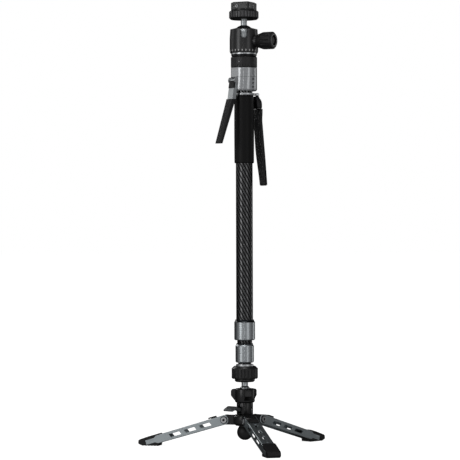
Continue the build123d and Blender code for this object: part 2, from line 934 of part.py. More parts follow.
def top_housing():
    low, high, edge = housing_bottom, housing_top, housing_low_edge
    housing = turned(
        (0, low),
        (housing_radius - edge, low),
        (housing_radius, low + edge),
        (housing_radius, high - housing_top_edge),
        (housing_radius - housing_top_edge, high),
        (0, high),
    )
    slot_width = lever_width + 2 * slide_gap
    facet = block(facet_reach, facet_reach + overrun, 2 * housing_radius, high - facet_height, high + overrun)
    lug = block(facet_reach - lug_wall, lever_pin_reach, slot_width + 2 * lug_wall,
                lever_z - lug_low, lever_z + lug_high)
    lug += across(lug_high, lever_pin_reach, lever_z, slot_width + 2 * lug_wall)
    slot = block(tube_1_radius + seat_gap, overrun + 2 * housing_radius, slot_width,
                 low - overrun, lever_z + lug_high + slide_gap)
    finger_room = block(0, housing_radius, lever_finger_width + 2 * seat_gap,
                        lever_z - 2 * lever_finger_half, lever_z + lug_high + slide_gap)
    pin = across(lever_pin_radius, lever_pin_reach, lever_z, slot_width + 2 * lug_wall)
    housing -= facing(lever_azimuth) * facet
    housing += facing(lever_azimuth) * lug
    housing -= facing(lever_azimuth) * (slot + finger_room + pin)
    housing -= disc(tube_1_radius, low - overrun, tube_1_top)
    housing -= disc(chamber_radius, tube_1_top, high - chamber_roof)
    housing -= disc(rod_journal_radius + run_gap, high - overrun, high + overrun)
    for i in range(shaft_hole_count):
        z = low + side_hole_height + (i - 1) * side_hole_pitch
        hole = outward(side_hole_radius, housing_radius - side_hole_depth, housing_radius + overrun, z)
        housing -= facing(side_hole_azimuth) * hole
    groove = block(housing_radius - side_groove_depth, housing_radius + overrun, side_groove_width,
                   low + 2 * edge, low + housing_height / 2)
    return housing - facing(side_groove_azimuth) * groove


def strap_ring():
    low, high = strap_ring_bottom, strap_ring_top
    plate = ring(strap_ring_radius, tube_1_radius, low, high)
    middle = radians((strap_ring_gap_start + strap_ring_gap_end) / 2 - 90)
    half = radians((strap_ring_gap_end - strap_ring_gap_start) / 2)
    far = 2 * strap_ring_radius
    wedge = Polyline(
        (0, 0),
        (far * cos(middle - half), far * sin(middle - half)),
        (far * cos(middle) / cos(half), far * sin(middle) / cos(half)),
        (far * cos(middle + half), far * sin(middle + half)),
        close=True,
    )
    plate -= Pos(0, 0, low) * extrude(make_face(wedge), high - low)
    plate += ring(tube_1_radius + grip_edge, tube_1_radius, low, high)
    lug = block(strap_ring_radius - lug_wall, strap_lug_reach, strap_lug_width, low, high)
    room = block(strap_ring_radius, strap_lug_reach + overrun, clip_eye_width + 2 * slide_gap, low, high)
    pin = across(strap_pin_radius, strap_pin_reach, (low + high) / 2, strap_lug_width)
    return plate + facing(strap_azimuth) * (lug - room + pin)


def lever_pin():
    width = lever_width + 2 * (slide_gap + lug_wall)
    return facing(lever_azimuth) * across(lever_pin_radius, lever_pin_reach, lever_z, width)


def lever_point(out, down):
    """(reach, height) of a point given outwards and downwards from the lever's pin."""
    return lever_pin_reach + out, lever_z - down


def grip_corners():
    return (
        lever_point(lever_grip_top_inner, lever_head_bottom),
        lever_point(lever_grip_top_outer, lever_head_bottom),
        lever_point(lever_grip_low_outer, lever_grip_bottom),
        lever_point(lever_grip_low_inner, lever_grip_bottom),
    )


def lever_core():
    share = lever_core_length / (lever_grip_bottom - lever_head_bottom)
    top = (lever_grip_top_inner + lever_grip_top_outer) / 2
    low = top + share * ((lever_grip_low_inner + lever_grip_low_outer) / 2 - top)
    half = lever_core_thickness / 2
    down = lever_head_bottom + lever_core_length
    return upright(
        lever_width - 2 * lever_grip_round,
        lever_point(top - half, lever_head_bottom - half),
        lever_point(top + half, lever_head_bottom - half),
        lever_point(low + half, down),
        lever_point(low - half, down),
    )


def hand_lever():
    lever = across(lever_barrel_radius, lever_pin_reach, lever_z, lever_width)
    lever += upright(
        lever_width,
        lever_point(lever_head_inner, 0),
        lever_point(lever_barrel_radius, 0),
        lever_point(lever_head_outer, lever_head_top),
        lever_point((lever_head_outer + lever_grip_top_outer) / 2, lever_head_bottom),
        lever_point(lever_grip_top_inner, lever_head_bottom),
        lever_point(lever_head_inner, lever_head_top),
    )
    lever += block(lever_pin_reach - lever_finger_reach, lever_pin_reach, lever_finger_width,
                   lever_z - lever_finger_half, lever_z + lever_finger_half)
    lever += lever_core()
    bore = across(lever_pin_radius + run_gap, lever_pin_reach, lever_z, lever_grip_width)
    return facing(lever_azimuth) * (lever - bore)


def lever_grip():
    grip = upright(lever_grip_width, *grip_corners())
    long_edges = [e for e in grip.edges() if e.length > lever_core_length]
    grip = fillet(long_edges, lever_grip_round)
    return facing(lever_azimuth) * (grip - lever_core())


# Strap clip and webbing, leaning out from the lug
def strap_frame():
    pin_z = (strap_ring_bottom + strap_ring_top) / 2
    return Pos(strap_pin_reach, 0, pin_z) * Rot(0, -strap_lean, 0) * Pos(-strap_pin_reach, 0, -pin_z)


def strap_clip():
    pin_z = (strap_ring_bottom + strap_ring_top) / 2
    low = pin_z - clip_height
    half = clip_thickness / 2
    eye = across(clip_eye_radius, strap_pin_reach, pin_z, clip_eye_width)
    eye += block(strap_pin_reach - half, strap_pin_reach + half, clip_eye_width,
                 pin_z - 2 * clip_eye_radius, pin_z)
    body = block(strap_pin_reach - half, strap_pin_reach + half, clip_width,
                 low, pin_z - 2 * clip_eye_radius)
    corners = body.edges().filter_by(Axis.X)
    body = fillet(corners, clip_eye_radius)
    eye -= across(strap_pin_radius + run_gap, strap_pin_reach, pin_z, clip_eye_width)
    return facing(strap_azimuth) * (strap_frame() * (body + eye))


def strap_webbing():
    """A webbing loop folded flat, with its two layers joined at the clip and turned at the bottom."""
    pin_z = (strap_ring_bottom + strap_ring_top) / 2
    high = pin_z - clip_height
    half = webbing_layer + webbing_gap / 2
    inner = webbing_gap / 2
    x = strap_pin_reach
    loop = block(x - half, x + half, webbing_width, webbing_bottom + half, high)
    loop += across(half, x, webbing_bottom + half, webbing_width)
    hollow = block(x - inner, x + inner, webbing_width + overrun, webbing_bottom + half, high - clip_height)
    hollow += across(inner, x, webbing_bottom + half, webbing_width + overrun)
    return facing(strap_azimuth) * (strap_frame() * (loop - hollow))


# Lock collar, platform, head base and head screw
def head_lock_collar():
    low, high, edge = lock_collar_bottom, lock_collar_top, lock_collar_edge
    bore = platform_shank_radius + run_gap
    collar = turned(
        (bore, low),
        (lock_collar_radius - edge, low),
        (lock_collar_radius, low + edge),
        (lock_collar_radius, high - edge),
        (lock_collar_radius - edge, high),
        (bore, high),
    )
    groove = Pos(lock_collar_radius, 0, 0) * disc(lock_groove_radius, low + edge, low + lock_groove_height)
    return collar - [turn * groove for turn in around(lock_groove_count)]


def head_platform():
    platform = turned(
        (0, housing_top),
        (platform_shank_radius, housing_top),
        (platform_shank_radius, platform_bottom),
        (platform_radius - platform_edge, platform_bottom),
        (platform_radius, platform_bottom + platform_edge),
        (platform_radius, platform_top),
        (0, platform_top),
    )
    return platform + disc(head_stud_radius, platform_top, platform_top + head_stud_length)


def head_base():
    base = disc(head_base_radius, platform_top, head_base_top)
    base += disc(head_boss_radius, head_base_top, head_base_top + head_boss_height)
    return base - disc(head_stud_radius, platform_top - overrun, platform_top + head_stud_length)


# Ball head
def head_body():
    low = head_bottom
    mouth = head_ball_radius + run_gap
    lip_radius = sqrt(mouth ** 2 - (head_top - head_ball_z) ** 2)
    body = turned(
        (0, low),
        (head_body_low_radius, low),
        (head_body_radius, low + head_low_edge),
        (head_body_radius, low + head_straight),
        (head_body_top_radius, head_top - head_top_edge),
        (lip_radius, head_top),
        (0, head_top),
    )
    boss = outward(knob_boss_radius, 0, knob_boss_reach, knob_z)
    body += facing(knob_azimuth) * boss
    body -= disc(head_boss_radius + run_gap, low - overrun, low + head_cavity_floor)
    body -= disc(mouth, low + head_cavity_floor, head_ball_z) + ball(mouth, head_ball_z)
    notch = block(head_boss_radius / 2, head_body_radius + overrun, notch_width,
                  head_ball_z, head_top + overrun)
    notch += outward(notch_width / 2, head_boss_radius / 2, head_body_radius + overrun, head_ball_z)
    body -= facing(0) * notch
    screw = outward(knob_screw_radius + run_gap, 0, knob_boss_reach + overrun, knob_z)
    return body - facing(knob_azimuth) * screw


def head_ball_stem():
    stem = disc(head_stem_radius, head_ball_z, clamp_bottom)
    stem += disc(ball_stud_radius, clamp_bottom, clamp_bottom + ball_stud_length)
    return stem + ball(head_ball_radius, head_ball_z)


def ball_cup():
    low = head_bottom + head_cavity_floor + seat_gap
    cup = ring(head_ball_radius - run_gap, cup_hole_radius, low, low + cup_height)
    cup -= ball(head_ball_radius + run_gap, head_ball_z)
    relief = outward(knob_screw_radius + slide_gap, 0, head_body_radius, knob_z)
    return cup - facing(knob_azimuth) * relief


def lock_knob():
    start = knob_boss_reach + slide_gap
    profile = [
        (start, 0),
        (start, knob_small_radius),
        (knob_cone_end, knob_radius),
        (knob_end - knob_edge, knob_radius),
        (knob_end, knob_radius - knob_edge),
        (knob_end, knob_recess_radius),
        (knob_end - knob_recess_depth, knob_recess_radius),
        (knob_end - knob_recess_depth, knob_cap_radius),
        (knob_end - knob_recess_depth / 2, knob_cap_radius),
        (knob_end - knob_recess_depth / 2, 0),
    ]
    knob = revolve(make_face(Polyline(*profile, close=True)), Axis.X)
    groove = outward(knob_groove_radius, knob_cone_end - knob_edge, knob_end - 2 * knob_edge, knob_radius)
    knob -= [Rot(360 * i / knob_groove_count, 0, 0) * groove for i in range(knob_groove_count)]
    knob += outward(knob_screw_radius, knob_screw_end, start, 0)
    return facing(knob_azimuth) * (Pos(0, 0, knob_z) * knob)


# Quick-release clamp
def square(side, low, high, corner):
    return Pos(0, 0, low) * extrude(RectangleRounded(side, side, corner), high - low)


def clamp_base():
    base = disc(clamp_post_radius, clamp_bottom, waist_bottom)
    base += disc(waist_radius, waist_bottom, waist_top)
    base += square(clamp_side, waist_top, slab_top, clamp_corner)
    key = block(jaw_inner - jaw_travel - slide_gap, clamp_side, jaw_key_width + 2 * slide_gap,
                slab_top - jaw_key_depth - slide_gap, slab_top + overrun)
    base -= key
    base += Rot(0, 0, 180) * jaw_bar()
    base -= disc(ball_stud_radius, clamp_bottom - overrun, clamp_bottom + ball_stud_length)
    return facing(clamp_azimuth) * Rot(0, 0, 90) * base


def jaw_bar():
    """The long jaw on the +X side, undercut to hold the plate's foot."""
    half = clamp_side / 2
    bar = upright(
        clamp_side,
        (plate_foot_half + 2 * slide_gap, slab_top),
        (half, slab_top),
        (half, jaw_top),
        (plate_foot_half + 2 * slide_gap - jaw_slope, jaw_top),
    )
    return bar & square(clamp_side, slab_top, jaw_top, clamp_corner)


def clamp_jaw():
    key = block(jaw_inner + slide_gap, clamp_side / 2 - slide_gap, jaw_key_width,
                slab_top - jaw_key_depth, slab_top + run_gap)
    lifted = Pos(0, 0, run_gap) * jaw_bar() & square(clamp_side, slab_top, jaw_top, clamp_corner)
    return facing(clamp_azimuth) * Rot(0, 0, 90) * (lifted + key)


def clamp_ring():
    low, high = clamp_bottom, clamp_ring_top
    bore = clamp_post_radius + run_gap
    body = turned(
        (bore, low),
        (clamp_ring_radius - clamp_ring_low_edge, low),
        (clamp_ring_radius, low + clamp_ring_low_edge),
        (clamp_ring_radius, high - clamp_ring_top_edge),
        (clamp_ring_radius - clamp_ring_top_edge, high),
        (bore, high),
    )
    groove = Pos(clamp_ring_radius + clamp_rib_groove_radius / 2, 0, 0) * disc(
        clamp_rib_groove_radius, low, high)
    for turn in around(clamp_rib_count):
        body -= turn * Rot(0, 0, clamp_rib_spread) * groove
        body -= turn * Rot(0, 0, -clamp_rib_spread) * groove
    return body


def qr_plate():
    half = plate_side / 2
    plate = square(plate_side, plate_low, plate_top, clamp_corner)
    top_edges = plate.edges().group_by(Axis.Z)[-1]
    plate = chamfer(top_edges, plate_edge)
    foot = upright(
        plate_side - clamp_corner,
        (-plate_foot_half, plate_bottom),
        (plate_foot_half, plate_bottom),
        (plate_waist_half, plate_low),
        (-plate_waist_half, plate_low),
    )
    plate += foot
    plate -= disc(camera_screw_radius + slide_gap, plate_bottom - overrun, plate_top + overrun)
    plate -= disc(camera_screw_head_radius + slide_gap, plate_bottom - overrun, screw_head_low()
                  + camera_screw_head_height + camera_screw_lift)
    return facing(clamp_azimuth) * Rot(0, 0, 90) * plate


def screw_head_low():
    return plate_bottom + slide_gap


def plate_pad():
    side = plate_side - 2 * plate_pad_inset
    pad = square(side, plate_top, pad_top, clamp_corner)
    pad -= disc(camera_screw_radius + seat_gap, plate_top - overrun, pad_top + overrun)
    pitch = side / (plate_pad_grooves + 1)
    for i in range(plate_pad_grooves):
        y = (i + 1) * pitch - side / 2
        groove = Pos(0, y, 0) * block(-side, side, plate_pad_groove_width,
                                      pad_top - plate_pad_groove_depth, pad_top + overrun)
        pad -= groove
    return facing(clamp_azimuth) * Rot(0, 0, 90) * pad


def camera_screw():
    low = screw_head_low()
    screw = disc(camera_screw_head_radius, low, low + camera_screw_head_height)
    screw += disc(camera_screw_radius, low, pad_top - seat_gap)
    return screw - block(-overrun, overrun, camera_screw_slot, low - overrun, low + camera_screw_slot_depth)


pieces = {
    "base_hub": base_hub(),
    "dome_foot": dome_foot(),
    "base_column": base_column(),
    "pedal_pin": pedal_pin(),
    "pedal": pedal(),
    "seat_plunger": seat_plunger(),
    "cup_springs": cup_springs(),
    "ball_seat": ball_seat(),
    "base_ball_stem": base_ball_stem(),
    "tilt_lock_collar": tilt_lock_collar(),
    "base_flange": base_flange(),
    "tube_3": tube(tube_3_radius, tube_3_bottom, tube_3_top),
    "pan_fitting": pan_fitting(),
    "pan_lock_collar": pan_lock_collar(),
    "tube_3_end_ring": ring(end_ring_radius, tube_3_radius, end_ring_bottom, end_ring_top),
    "tube_2": tube(tube_2_radius, tube_2_bottom, tube_2_top),
    "end_collar_2": end_collar(collar_2_radius, collar_2_bottom, collar_2_top,
                               tube_2_radius, tube_3_radius),
    "guide_bush_2": guide_bush(collar_2_bottom, tube_3_radius),
    "tube_1": tube(tube_1_radius, tube_1_bottom, tube_1_top),
    "end_collar_1": end_collar(collar_1_radius, collar_1_bottom, collar_1_top,
                               tube_1_radius, tube_2_radius),
    "guide_bush_1": guide_bush(collar_1_bottom, tube_2_radius),
    "lock_plug_2": lock_plug(tube_2_radius, tube_2_top, release_tube_half_flat * hex_corner + slide_gap),
    "lock_ring_2": lock_ring(ring_2_radius, ring_2_bottom),
    "lock_plug_3": lock_plug(tube_3_radius, tube_3_top, release_tube_half_flat * hex_corner + slide_gap),
    "lock_ring_3": lock_ring(ring_3_radius, ring_3_bottom),
    "release_tube": release_tube(),
    "release_cam_3": cam(ring_3_radius, ring_3_bottom, cam_3_bore),
    "release_rod": release_rod(),
    "shift_sleeve": shift_sleeve(),
    "grip_sleeve": grip_sleeve(),
    "top_housing": top_housing(),
    "strap_ring": strap_ring(),
    "lever_pin": lever_pin(),
    "hand_lever": hand_lever(),
    "lever_grip": lever_grip(),
    "strap_clip": strap_clip(),
    "strap_webbing": strap_webbing(),
    "head_lock_collar": head_lock_collar(),
    "head_platform": head_platform(),
    "head_base": head_base(),
    "head_body": head_body(),
    "head_ball_stem": head_ball_stem(),
    "ball_cup": ball_cup(),
    "lock_knob": lock_knob(),
    "clamp_base": clamp_base(),
    "clamp_jaw": clamp_jaw(),
    "clamp_ring": clamp_ring(),
    "qr_plate": qr_plate(),
    "plate_pad": plate_pad(),
    "camera_screw": camera_screw(),
}

channel, foot, latch, screw = leg_channel(), leg_foot(), leg_latch(), leg_pivot_screw()
foot -= channel
screws = []
for name, azimuth in leg_azimuths.items():
    pieces["leg_channel_" + name] = facing(azimuth) * channel
    pieces["leg_foot_" + name] = facing(azimuth) * foot
    pieces["leg_latch_" + name] = facing(azimuth) * latch
    screws.append(facing(azimuth) * screw)
pieces["leg_pivot_screws"] = Compound(children=screws)

os.makedirs("parts", exist_ok=True)
for name, piece in pieces.items():
    export_step(piece, "parts/" + name + ".step")
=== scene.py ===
import math

import bmesh
import bpy
from mathutils import Matrix, Vector


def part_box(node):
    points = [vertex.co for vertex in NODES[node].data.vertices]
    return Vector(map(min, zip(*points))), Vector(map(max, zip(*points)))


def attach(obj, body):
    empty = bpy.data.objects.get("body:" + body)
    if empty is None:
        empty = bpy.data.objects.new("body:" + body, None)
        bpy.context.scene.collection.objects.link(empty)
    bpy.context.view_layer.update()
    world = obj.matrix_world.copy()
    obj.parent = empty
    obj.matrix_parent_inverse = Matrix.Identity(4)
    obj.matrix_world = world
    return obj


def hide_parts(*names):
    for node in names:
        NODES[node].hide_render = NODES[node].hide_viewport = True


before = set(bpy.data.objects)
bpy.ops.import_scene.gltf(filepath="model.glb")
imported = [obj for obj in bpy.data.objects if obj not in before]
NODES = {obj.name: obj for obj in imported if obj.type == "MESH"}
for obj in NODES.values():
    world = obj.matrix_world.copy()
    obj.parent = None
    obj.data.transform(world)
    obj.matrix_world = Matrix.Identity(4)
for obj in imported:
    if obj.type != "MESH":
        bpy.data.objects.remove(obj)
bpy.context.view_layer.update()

MM = 0.001


# Directions: an azimuth is counted from the front (-Y) towards the right (+X)
def outward(azimuth):
    a = math.radians(azimuth)
    return Vector((math.sin(a), -math.cos(a), 0))


def sideways(azimuth):
    a = math.radians(azimuth)
    return Vector((math.cos(a), math.sin(a), 0))


def azimuth_of(x, y):
    return math.degrees(math.atan2(x, -y))


def at(azimuth, out, across, z):
    """A point in metres, from millimetres out from the column, across and up."""
    flat = outward(azimuth) * out + sideways(azimuth) * across
    return Vector((flat.x, flat.y, z)) * MM


# Node helpers
class Shade:
    """A material's node tree with short calls for the nodes used here."""

    def __init__(self, name, metallic=0.0, roughness=0.5):
        self.mat = bpy.data.materials.new(name)
        self.mat.use_nodes = True
        self.tree = self.mat.node_tree
        self.tree.nodes.clear()
        self.out = self.add("ShaderNodeOutputMaterial")
        self.bsdf = self.add("ShaderNodeBsdfPrincipled")
        self.link(self.bsdf.outputs[0], self.out.inputs[0])
        self.bsdf.inputs["Metallic"].default_value = metallic
        self.bsdf.inputs["Roughness"].default_value = roughness

    def add(self, kind, **settings):
        node = self.tree.nodes.new(kind)
        for key, value in settings.items():
            setattr(node, key, value)
        return node

    def link(self, a, b):
        self.tree.links.new(a, b)

    def math(self, operation, a, b=None, c=None):
        node = self.add("ShaderNodeMath", operation=operation)
        for i, value in enumerate((a, b, c)):
            if isinstance(value, (int, float)):
                node.inputs[i].default_value = value
            elif value is not None:
                self.link(value, node.inputs[i])
        return node.outputs[0]

    def place(self):
        return self.add("ShaderNodeTexCoord").outputs["Object"]

    def xyz(self, origin=(0, 0, 0)):
        shift = self.add("ShaderNodeVectorMath", operation="SUBTRACT")
        self.link(self.place(), shift.inputs[0])
        shift.inputs[1].default_value = origin
        split = self.add("ShaderNodeSeparateXYZ")
        self.link(shift.outputs[0], split.inputs[0])
        return split.outputs

    def turned(self):
        """(angle, height) about the column."""
        x, y, z = self.xyz()
        return self.math("ARCTAN2", y, x), z

    def along(self, x, y, direction):
        """How far a point lies in a level direction."""
        return self.math("ADD", self.math("MULTIPLY", x, direction.x), self.math("MULTIPLY", y, direction.y))

    def noise(self, scale, detail=3.0, roughness=0.55, stretch=None, seed=0.0):
        node = self.add("ShaderNodeTexNoise", noise_dimensions="4D")
        node.inputs["Scale"].default_value = scale
        node.inputs["Detail"].default_value = detail
        node.inputs["Roughness"].default_value = roughness
        node.inputs["W"].default_value = seed
        source = self.place()
        if stretch is not None:
            mapping = self.add("ShaderNodeMapping")
            mapping.inputs["Scale"].default_value = stretch
            self.link(source, mapping.inputs["Vector"])
            source = mapping.outputs[0]
        self.link(source, node.inputs["Vector"])
        return node.outputs["Fac"]

    def ranged(self, value, low, high, from_low=0.3, from_high=0.7):
        node = self.add("ShaderNodeMapRange")
        self.link(value, node.inputs["Value"])
        node.inputs["From Min"].default_value = from_low
        node.inputs["From Max"].default_value = from_high
        node.inputs["To Min"].default_value = low
        node.inputs["To Max"].default_value = high
        return node.outputs[0]

    def mix(self, factor, a, b):
        node = self.add("ShaderNodeMix", data_type="RGBA")
        for socket, value in ((node.inputs[0], factor), (node.inputs[6], a), (node.inputs[7], b)):
            if isinstance(value, tuple):
                socket.default_value = value + (1.0,)
            elif isinstance(value, (int, float)):
                socket.default_value = value
            else:
                self.link(value, socket)
        return node.outputs[2]

    def set(self, **sockets):
        """Values that are the same all over the surface: Coat_Weight=0.1 sets "Coat Weight"."""
        for name, value in sockets.items():
            self.bsdf.inputs[name.replace("_", " ")].default_value = value

    def colour(self, value):
        self.link(value, self.bsdf.inputs["Base Color"])

    def rough(self, value):
        self.link(value, self.bsdf.inputs["Roughness"])

    def bump(self, height, distance, strength):
        node = self.add("ShaderNodeBump")
        node.inputs["Strength"].default_value = strength
        node.inputs["Distance"].default_value = distance
        self.link(height, node.inputs["Height"])
        self.link(node.outputs[0], self.bsdf.inputs["Normal"])

    def band(self, value, middle, half, soft):
        """1 where value is within half of middle, 0 outside, soft at its ends."""
        away = self.math("ABSOLUTE", self.math("SUBTRACT", value, middle))
        return self.ranged(away, 1.0, 0.0, half - soft, half + soft)


def scaled(colour, factor):
    return tuple(c * factor for c in colour)


def grain(s, colour, spread, low, high, scale, bump, seed=0.0):
    """Colour, roughness and a fine grain for a bead-blasted or moulded surface."""
    wide = s.noise(scale * 0.04, 2.0, seed=seed)
    fine = s.noise(scale, 2.0, 0.6, seed=seed + 3.0)
    s.colour(s.mix(s.ranged(wide, 0.0, 1.0), scaled(colour, 1 - spread), scaled(colour, 1 + spread)))
    s.rough(s.ranged(fine, low, high))
    s.bump(fine, bump, 0.6)


# Metals
def anodised(name, colour, low, high, metallic=1.0, spread=0.08):
    s = Shade(name, metallic)
    grain(s, colour, spread, low, high, 1500.0, 0.000012)
    return s.mat


def lathed(name, colour, low, high, seams_and_shade_bands=(), metallic=1.0):
    """Turned metal: fine rings round the column, with dark bands (height, half width) on it: seam lines,
    dark rims, and on the collars painted shade.
    """
    pitch, depth, seam_and_shade_edge = 0.0006, 0.0000006, 0.00006
    seam_and_shade_dark = (0.02, 0.022, 0.024)
    s = Shade(name, metallic)
    angle, height = s.turned()
    rings = s.math("SINE", s.math("MULTIPLY", height, 2 * math.pi / pitch))
    drift = s.noise(60.0, 2.0, stretch=(1, 1, 12))
    tone = s.mix(s.ranged(drift, 0.0, 1.0), scaled(colour, 0.92), scaled(colour, 1.06))
    for middle, half in seams_and_shade_bands:
        tone = s.mix(s.band(height, middle, half, seam_and_shade_edge), tone, seam_and_shade_dark)
    s.colour(tone)
    s.rough(s.ranged(drift, low, high))
    s.bump(rings, depth, 0.3)
    return s.mat


def brushed(name, colour, low, high, azimuth, slope):
    """Metal brushed along a leg: the grain runs outwards and down its slope."""
    spread, hair_along, hair_across = 0.1, 40.0, 2600.0
    s = Shade(name, 1.0)
    x, y, z = s.xyz()
    out = s.along(x, y, outward(azimuth))
    level, steep = math.cos(slope), math.sin(slope)
    run = s.math("SUBTRACT", s.math("MULTIPLY", out, level), s.math("MULTIPLY", z, steep))
    rise = s.math("ADD", s.math("MULTIPLY", out, steep), s.math("MULTIPLY", z, level))
    across = s.along(x, y, sideways(azimuth))
    joined = s.add("ShaderNodeCombineXYZ")
    for i, (value, scale) in enumerate(((run, hair_along), (rise, hair_across), (across, hair_across))):
        s.link(s.math("MULTIPLY", value, scale), joined.inputs[i])
    hair = s.add("ShaderNodeTexNoise")
    hair.inputs["Scale"].default_value = 1.0
    hair.inputs["Detail"].default_value = 2.0
    s.link(joined.outputs[0], hair.inputs["Vector"])
    fine = hair.outputs["Fac"]
    s.colour(s.mix(s.ranged(fine, 0.0, 1.0), scaled(colour, 1 - spread), scaled(colour, 1 + spread)))
    s.rough(s.ranged(fine, low, high))
    s.bump(fine, 0.00001, 0.5)
    return s.mat


def knurled(name, colour, lines, low_z, high_z, depth, metallic=0.0):
    """Black metal with straight ridges between two heights."""
    edge = 0.0003
    s = Shade(name, metallic)
    angle, height = s.turned()
    ridges = s.math("ABSOLUTE", s.math("SINE", s.math("MULTIPLY", angle, float(lines))))
    inside = s.band(height, (low_z + high_z) / 2, (high_z - low_z) / 2, edge)
    teeth = s.math("MULTIPLY", ridges, inside)
    grit = s.noise(1400.0, 2.0)
    # Ridges painted lighter and grooves darker: painted highlight on the ridges and painted shade in the
    # grooves.
    s.colour(s.mix(teeth, scaled(colour, 0.5), scaled(colour, 2.2)))
    s.rough(s.ranged(grit, 0.32, 0.46))
    s.bump(s.math("ADD", teeth, s.math("MULTIPLY", grit, 0.08)), depth, 0.9)
    return s.mat


# Carbon weave: a 2 by 2 twill round a tube
def carbon(name, radius, painted_shade_scale):
    tow, band_across, band_along = 0.0015, 0.0053, 0.0098
    s = Shade(name, 0.92, 0.3)
    angle, height = s.turned()
    across = s.math("DIVIDE", s.math("MULTIPLY", angle, radius), tow)
    along = s.math("DIVIDE", height, tow)
    column = s.math("FLOOR", across)
    row = s.math("FLOOR", along)
    step = s.math("FLOORED_MODULO", s.math("ADD", column, row), 4.0)
    over = s.math("LESS_THAN", step, 1.5)
    in_column = s.math("SUBTRACT", across, column)
    in_row = s.math("SUBTRACT", along, row)
    crown_a = s.math("SINE", s.math("MULTIPLY", in_column, math.pi))
    crown_b = s.math("SINE", s.math("MULTIPLY", in_row, math.pi))
    crown = s.math("ADD", s.math("MULTIPLY", crown_a, over),
                   s.math("MULTIPLY", crown_b, s.math("SUBTRACT", 1.0, over)))
    lean = s.math("ADD", s.math("MULTIPLY", across, tow / band_across),
                  s.math("MULTIPLY", along, tow / band_along))
    wave = s.math("SINE", s.math("MULTIPLY", lean, 2 * math.pi))
    band = s.ranged(wave, 0.0, 1.0, -0.55, 0.6)
    fibre = s.noise(2500.0, 2.0, seed=radius * 1000)
    patchy = s.noise(70.0, 2.0, seed=radius * 3000)
    dark = s.mix(fibre, (0.003, 0.003, 0.0031), (0.006, 0.006, 0.0062))
    # On tubes 2 and 3 the light bands are dimmed: painted shade for the gaps under the collars.
    light = s.mix(fibre, scaled((0.13, 0.131, 0.133), painted_shade_scale), scaled((0.2, 0.202, 0.206), painted_shade_scale))
    strength = s.math("MULTIPLY", band, s.ranged(crown, 0.6, 1.0, 0.0, 1.0))
    tone = s.mix(s.math("MULTIPLY", strength, s.ranged(patchy, 0.7, 1.0)), dark, light)
    s.colour(tone)
    s.rough(s.ranged(fibre, 0.2, 0.28))
    s.bump(crown, 0.00003, 0.3)
    s.set(Coat_Weight=0.08, Coat_Roughness=0.16)
    return s.mat


# Rubber, foam, plastic, webbing
def rubber(name, colour=(0.01, 0.01, 0.0105), low=0.48, high=0.66, seed=0.0):
    s = Shade(name, 0.0)
    s.set(Specular_IOR_Level=0.35)
    grain(s, colour, 0.25, low, high, 1100.0, 0.00004, seed)
    return s.mat


def foam(name):
    s = Shade(name, 0.0)
    cell = s.add("ShaderNodeTexVoronoi")
    cell.inputs["Scale"].default_value = 1500.0
    s.link(s.place(), cell.inputs["Vector"])
    wide = s.noise(35.0, 3.0)
    s.colour(s.mix(s.ranged(wide, 0.0, 1.0), (0.0025, 0.0025, 0.0026), (0.0045, 0.0045, 0.0046)))
    s.rough(s.ranged(wide, 0.42, 0.5))
    s.bump(cell.outputs["Distance"], 0.00008, 0.35)
    s.set(Specular_IOR_Level=0.2, Sheen_Weight=0.12, Sheen_Roughness=0.3)
    return s.mat


def webbing(name, pin, azimuth):
    """Flat nylon webbing in a herringbone: slanting picks over threads that run along it."""
    thread, herring, pick = 0.0016, 0.0032, 0.0019
    s = Shade(name, 0.0)
    x, y, z = s.xyz(tuple(pin))
    across = s.along(x, y, sideways(azimuth))
    ends = s.math("ABSOLUTE", s.math("SINE", s.math("MULTIPLY", across, math.pi / thread)))
    lean_in = s.math("PINGPONG", across, herring)
    picks = s.math("SINE", s.math("MULTIPLY", s.math("ADD", z, lean_in), 2 * math.pi / pick))
    weave = s.math("MULTIPLY", s.math("ADD", picks, 1.0), ends)
    fuzz = s.noise(1800.0, 2.0)
    s.colour(s.mix(s.ranged(weave, 0.0, 1.0, 0.0, 2.0), (0.006, 0.006, 0.0065), (0.02, 0.02, 0.021)))
    s.rough(s.ranged(fuzz, 0.5, 0.68))
    s.bump(weave, 0.00018, 0.7)
    s.set(Sheen_Weight=0.06)
    return s.mat


def polished(name, colour, low, high):
    s = Shade(name, 1.0)
    smear = s.noise(45.0, 2.0)
    s.colour(s.mix(s.ranged(smear, 0.0, 1.0), scaled(colour, 0.93), colour))
    s.rough(s.ranged(smear, low, high))
    return s.mat


def dark_band(node, end, offset, half):
    """A dark band at the lower (0) or upper (1) end of a piece, offset from it, in metres."""
    return ((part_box(node)[end][2] + offset, half),)


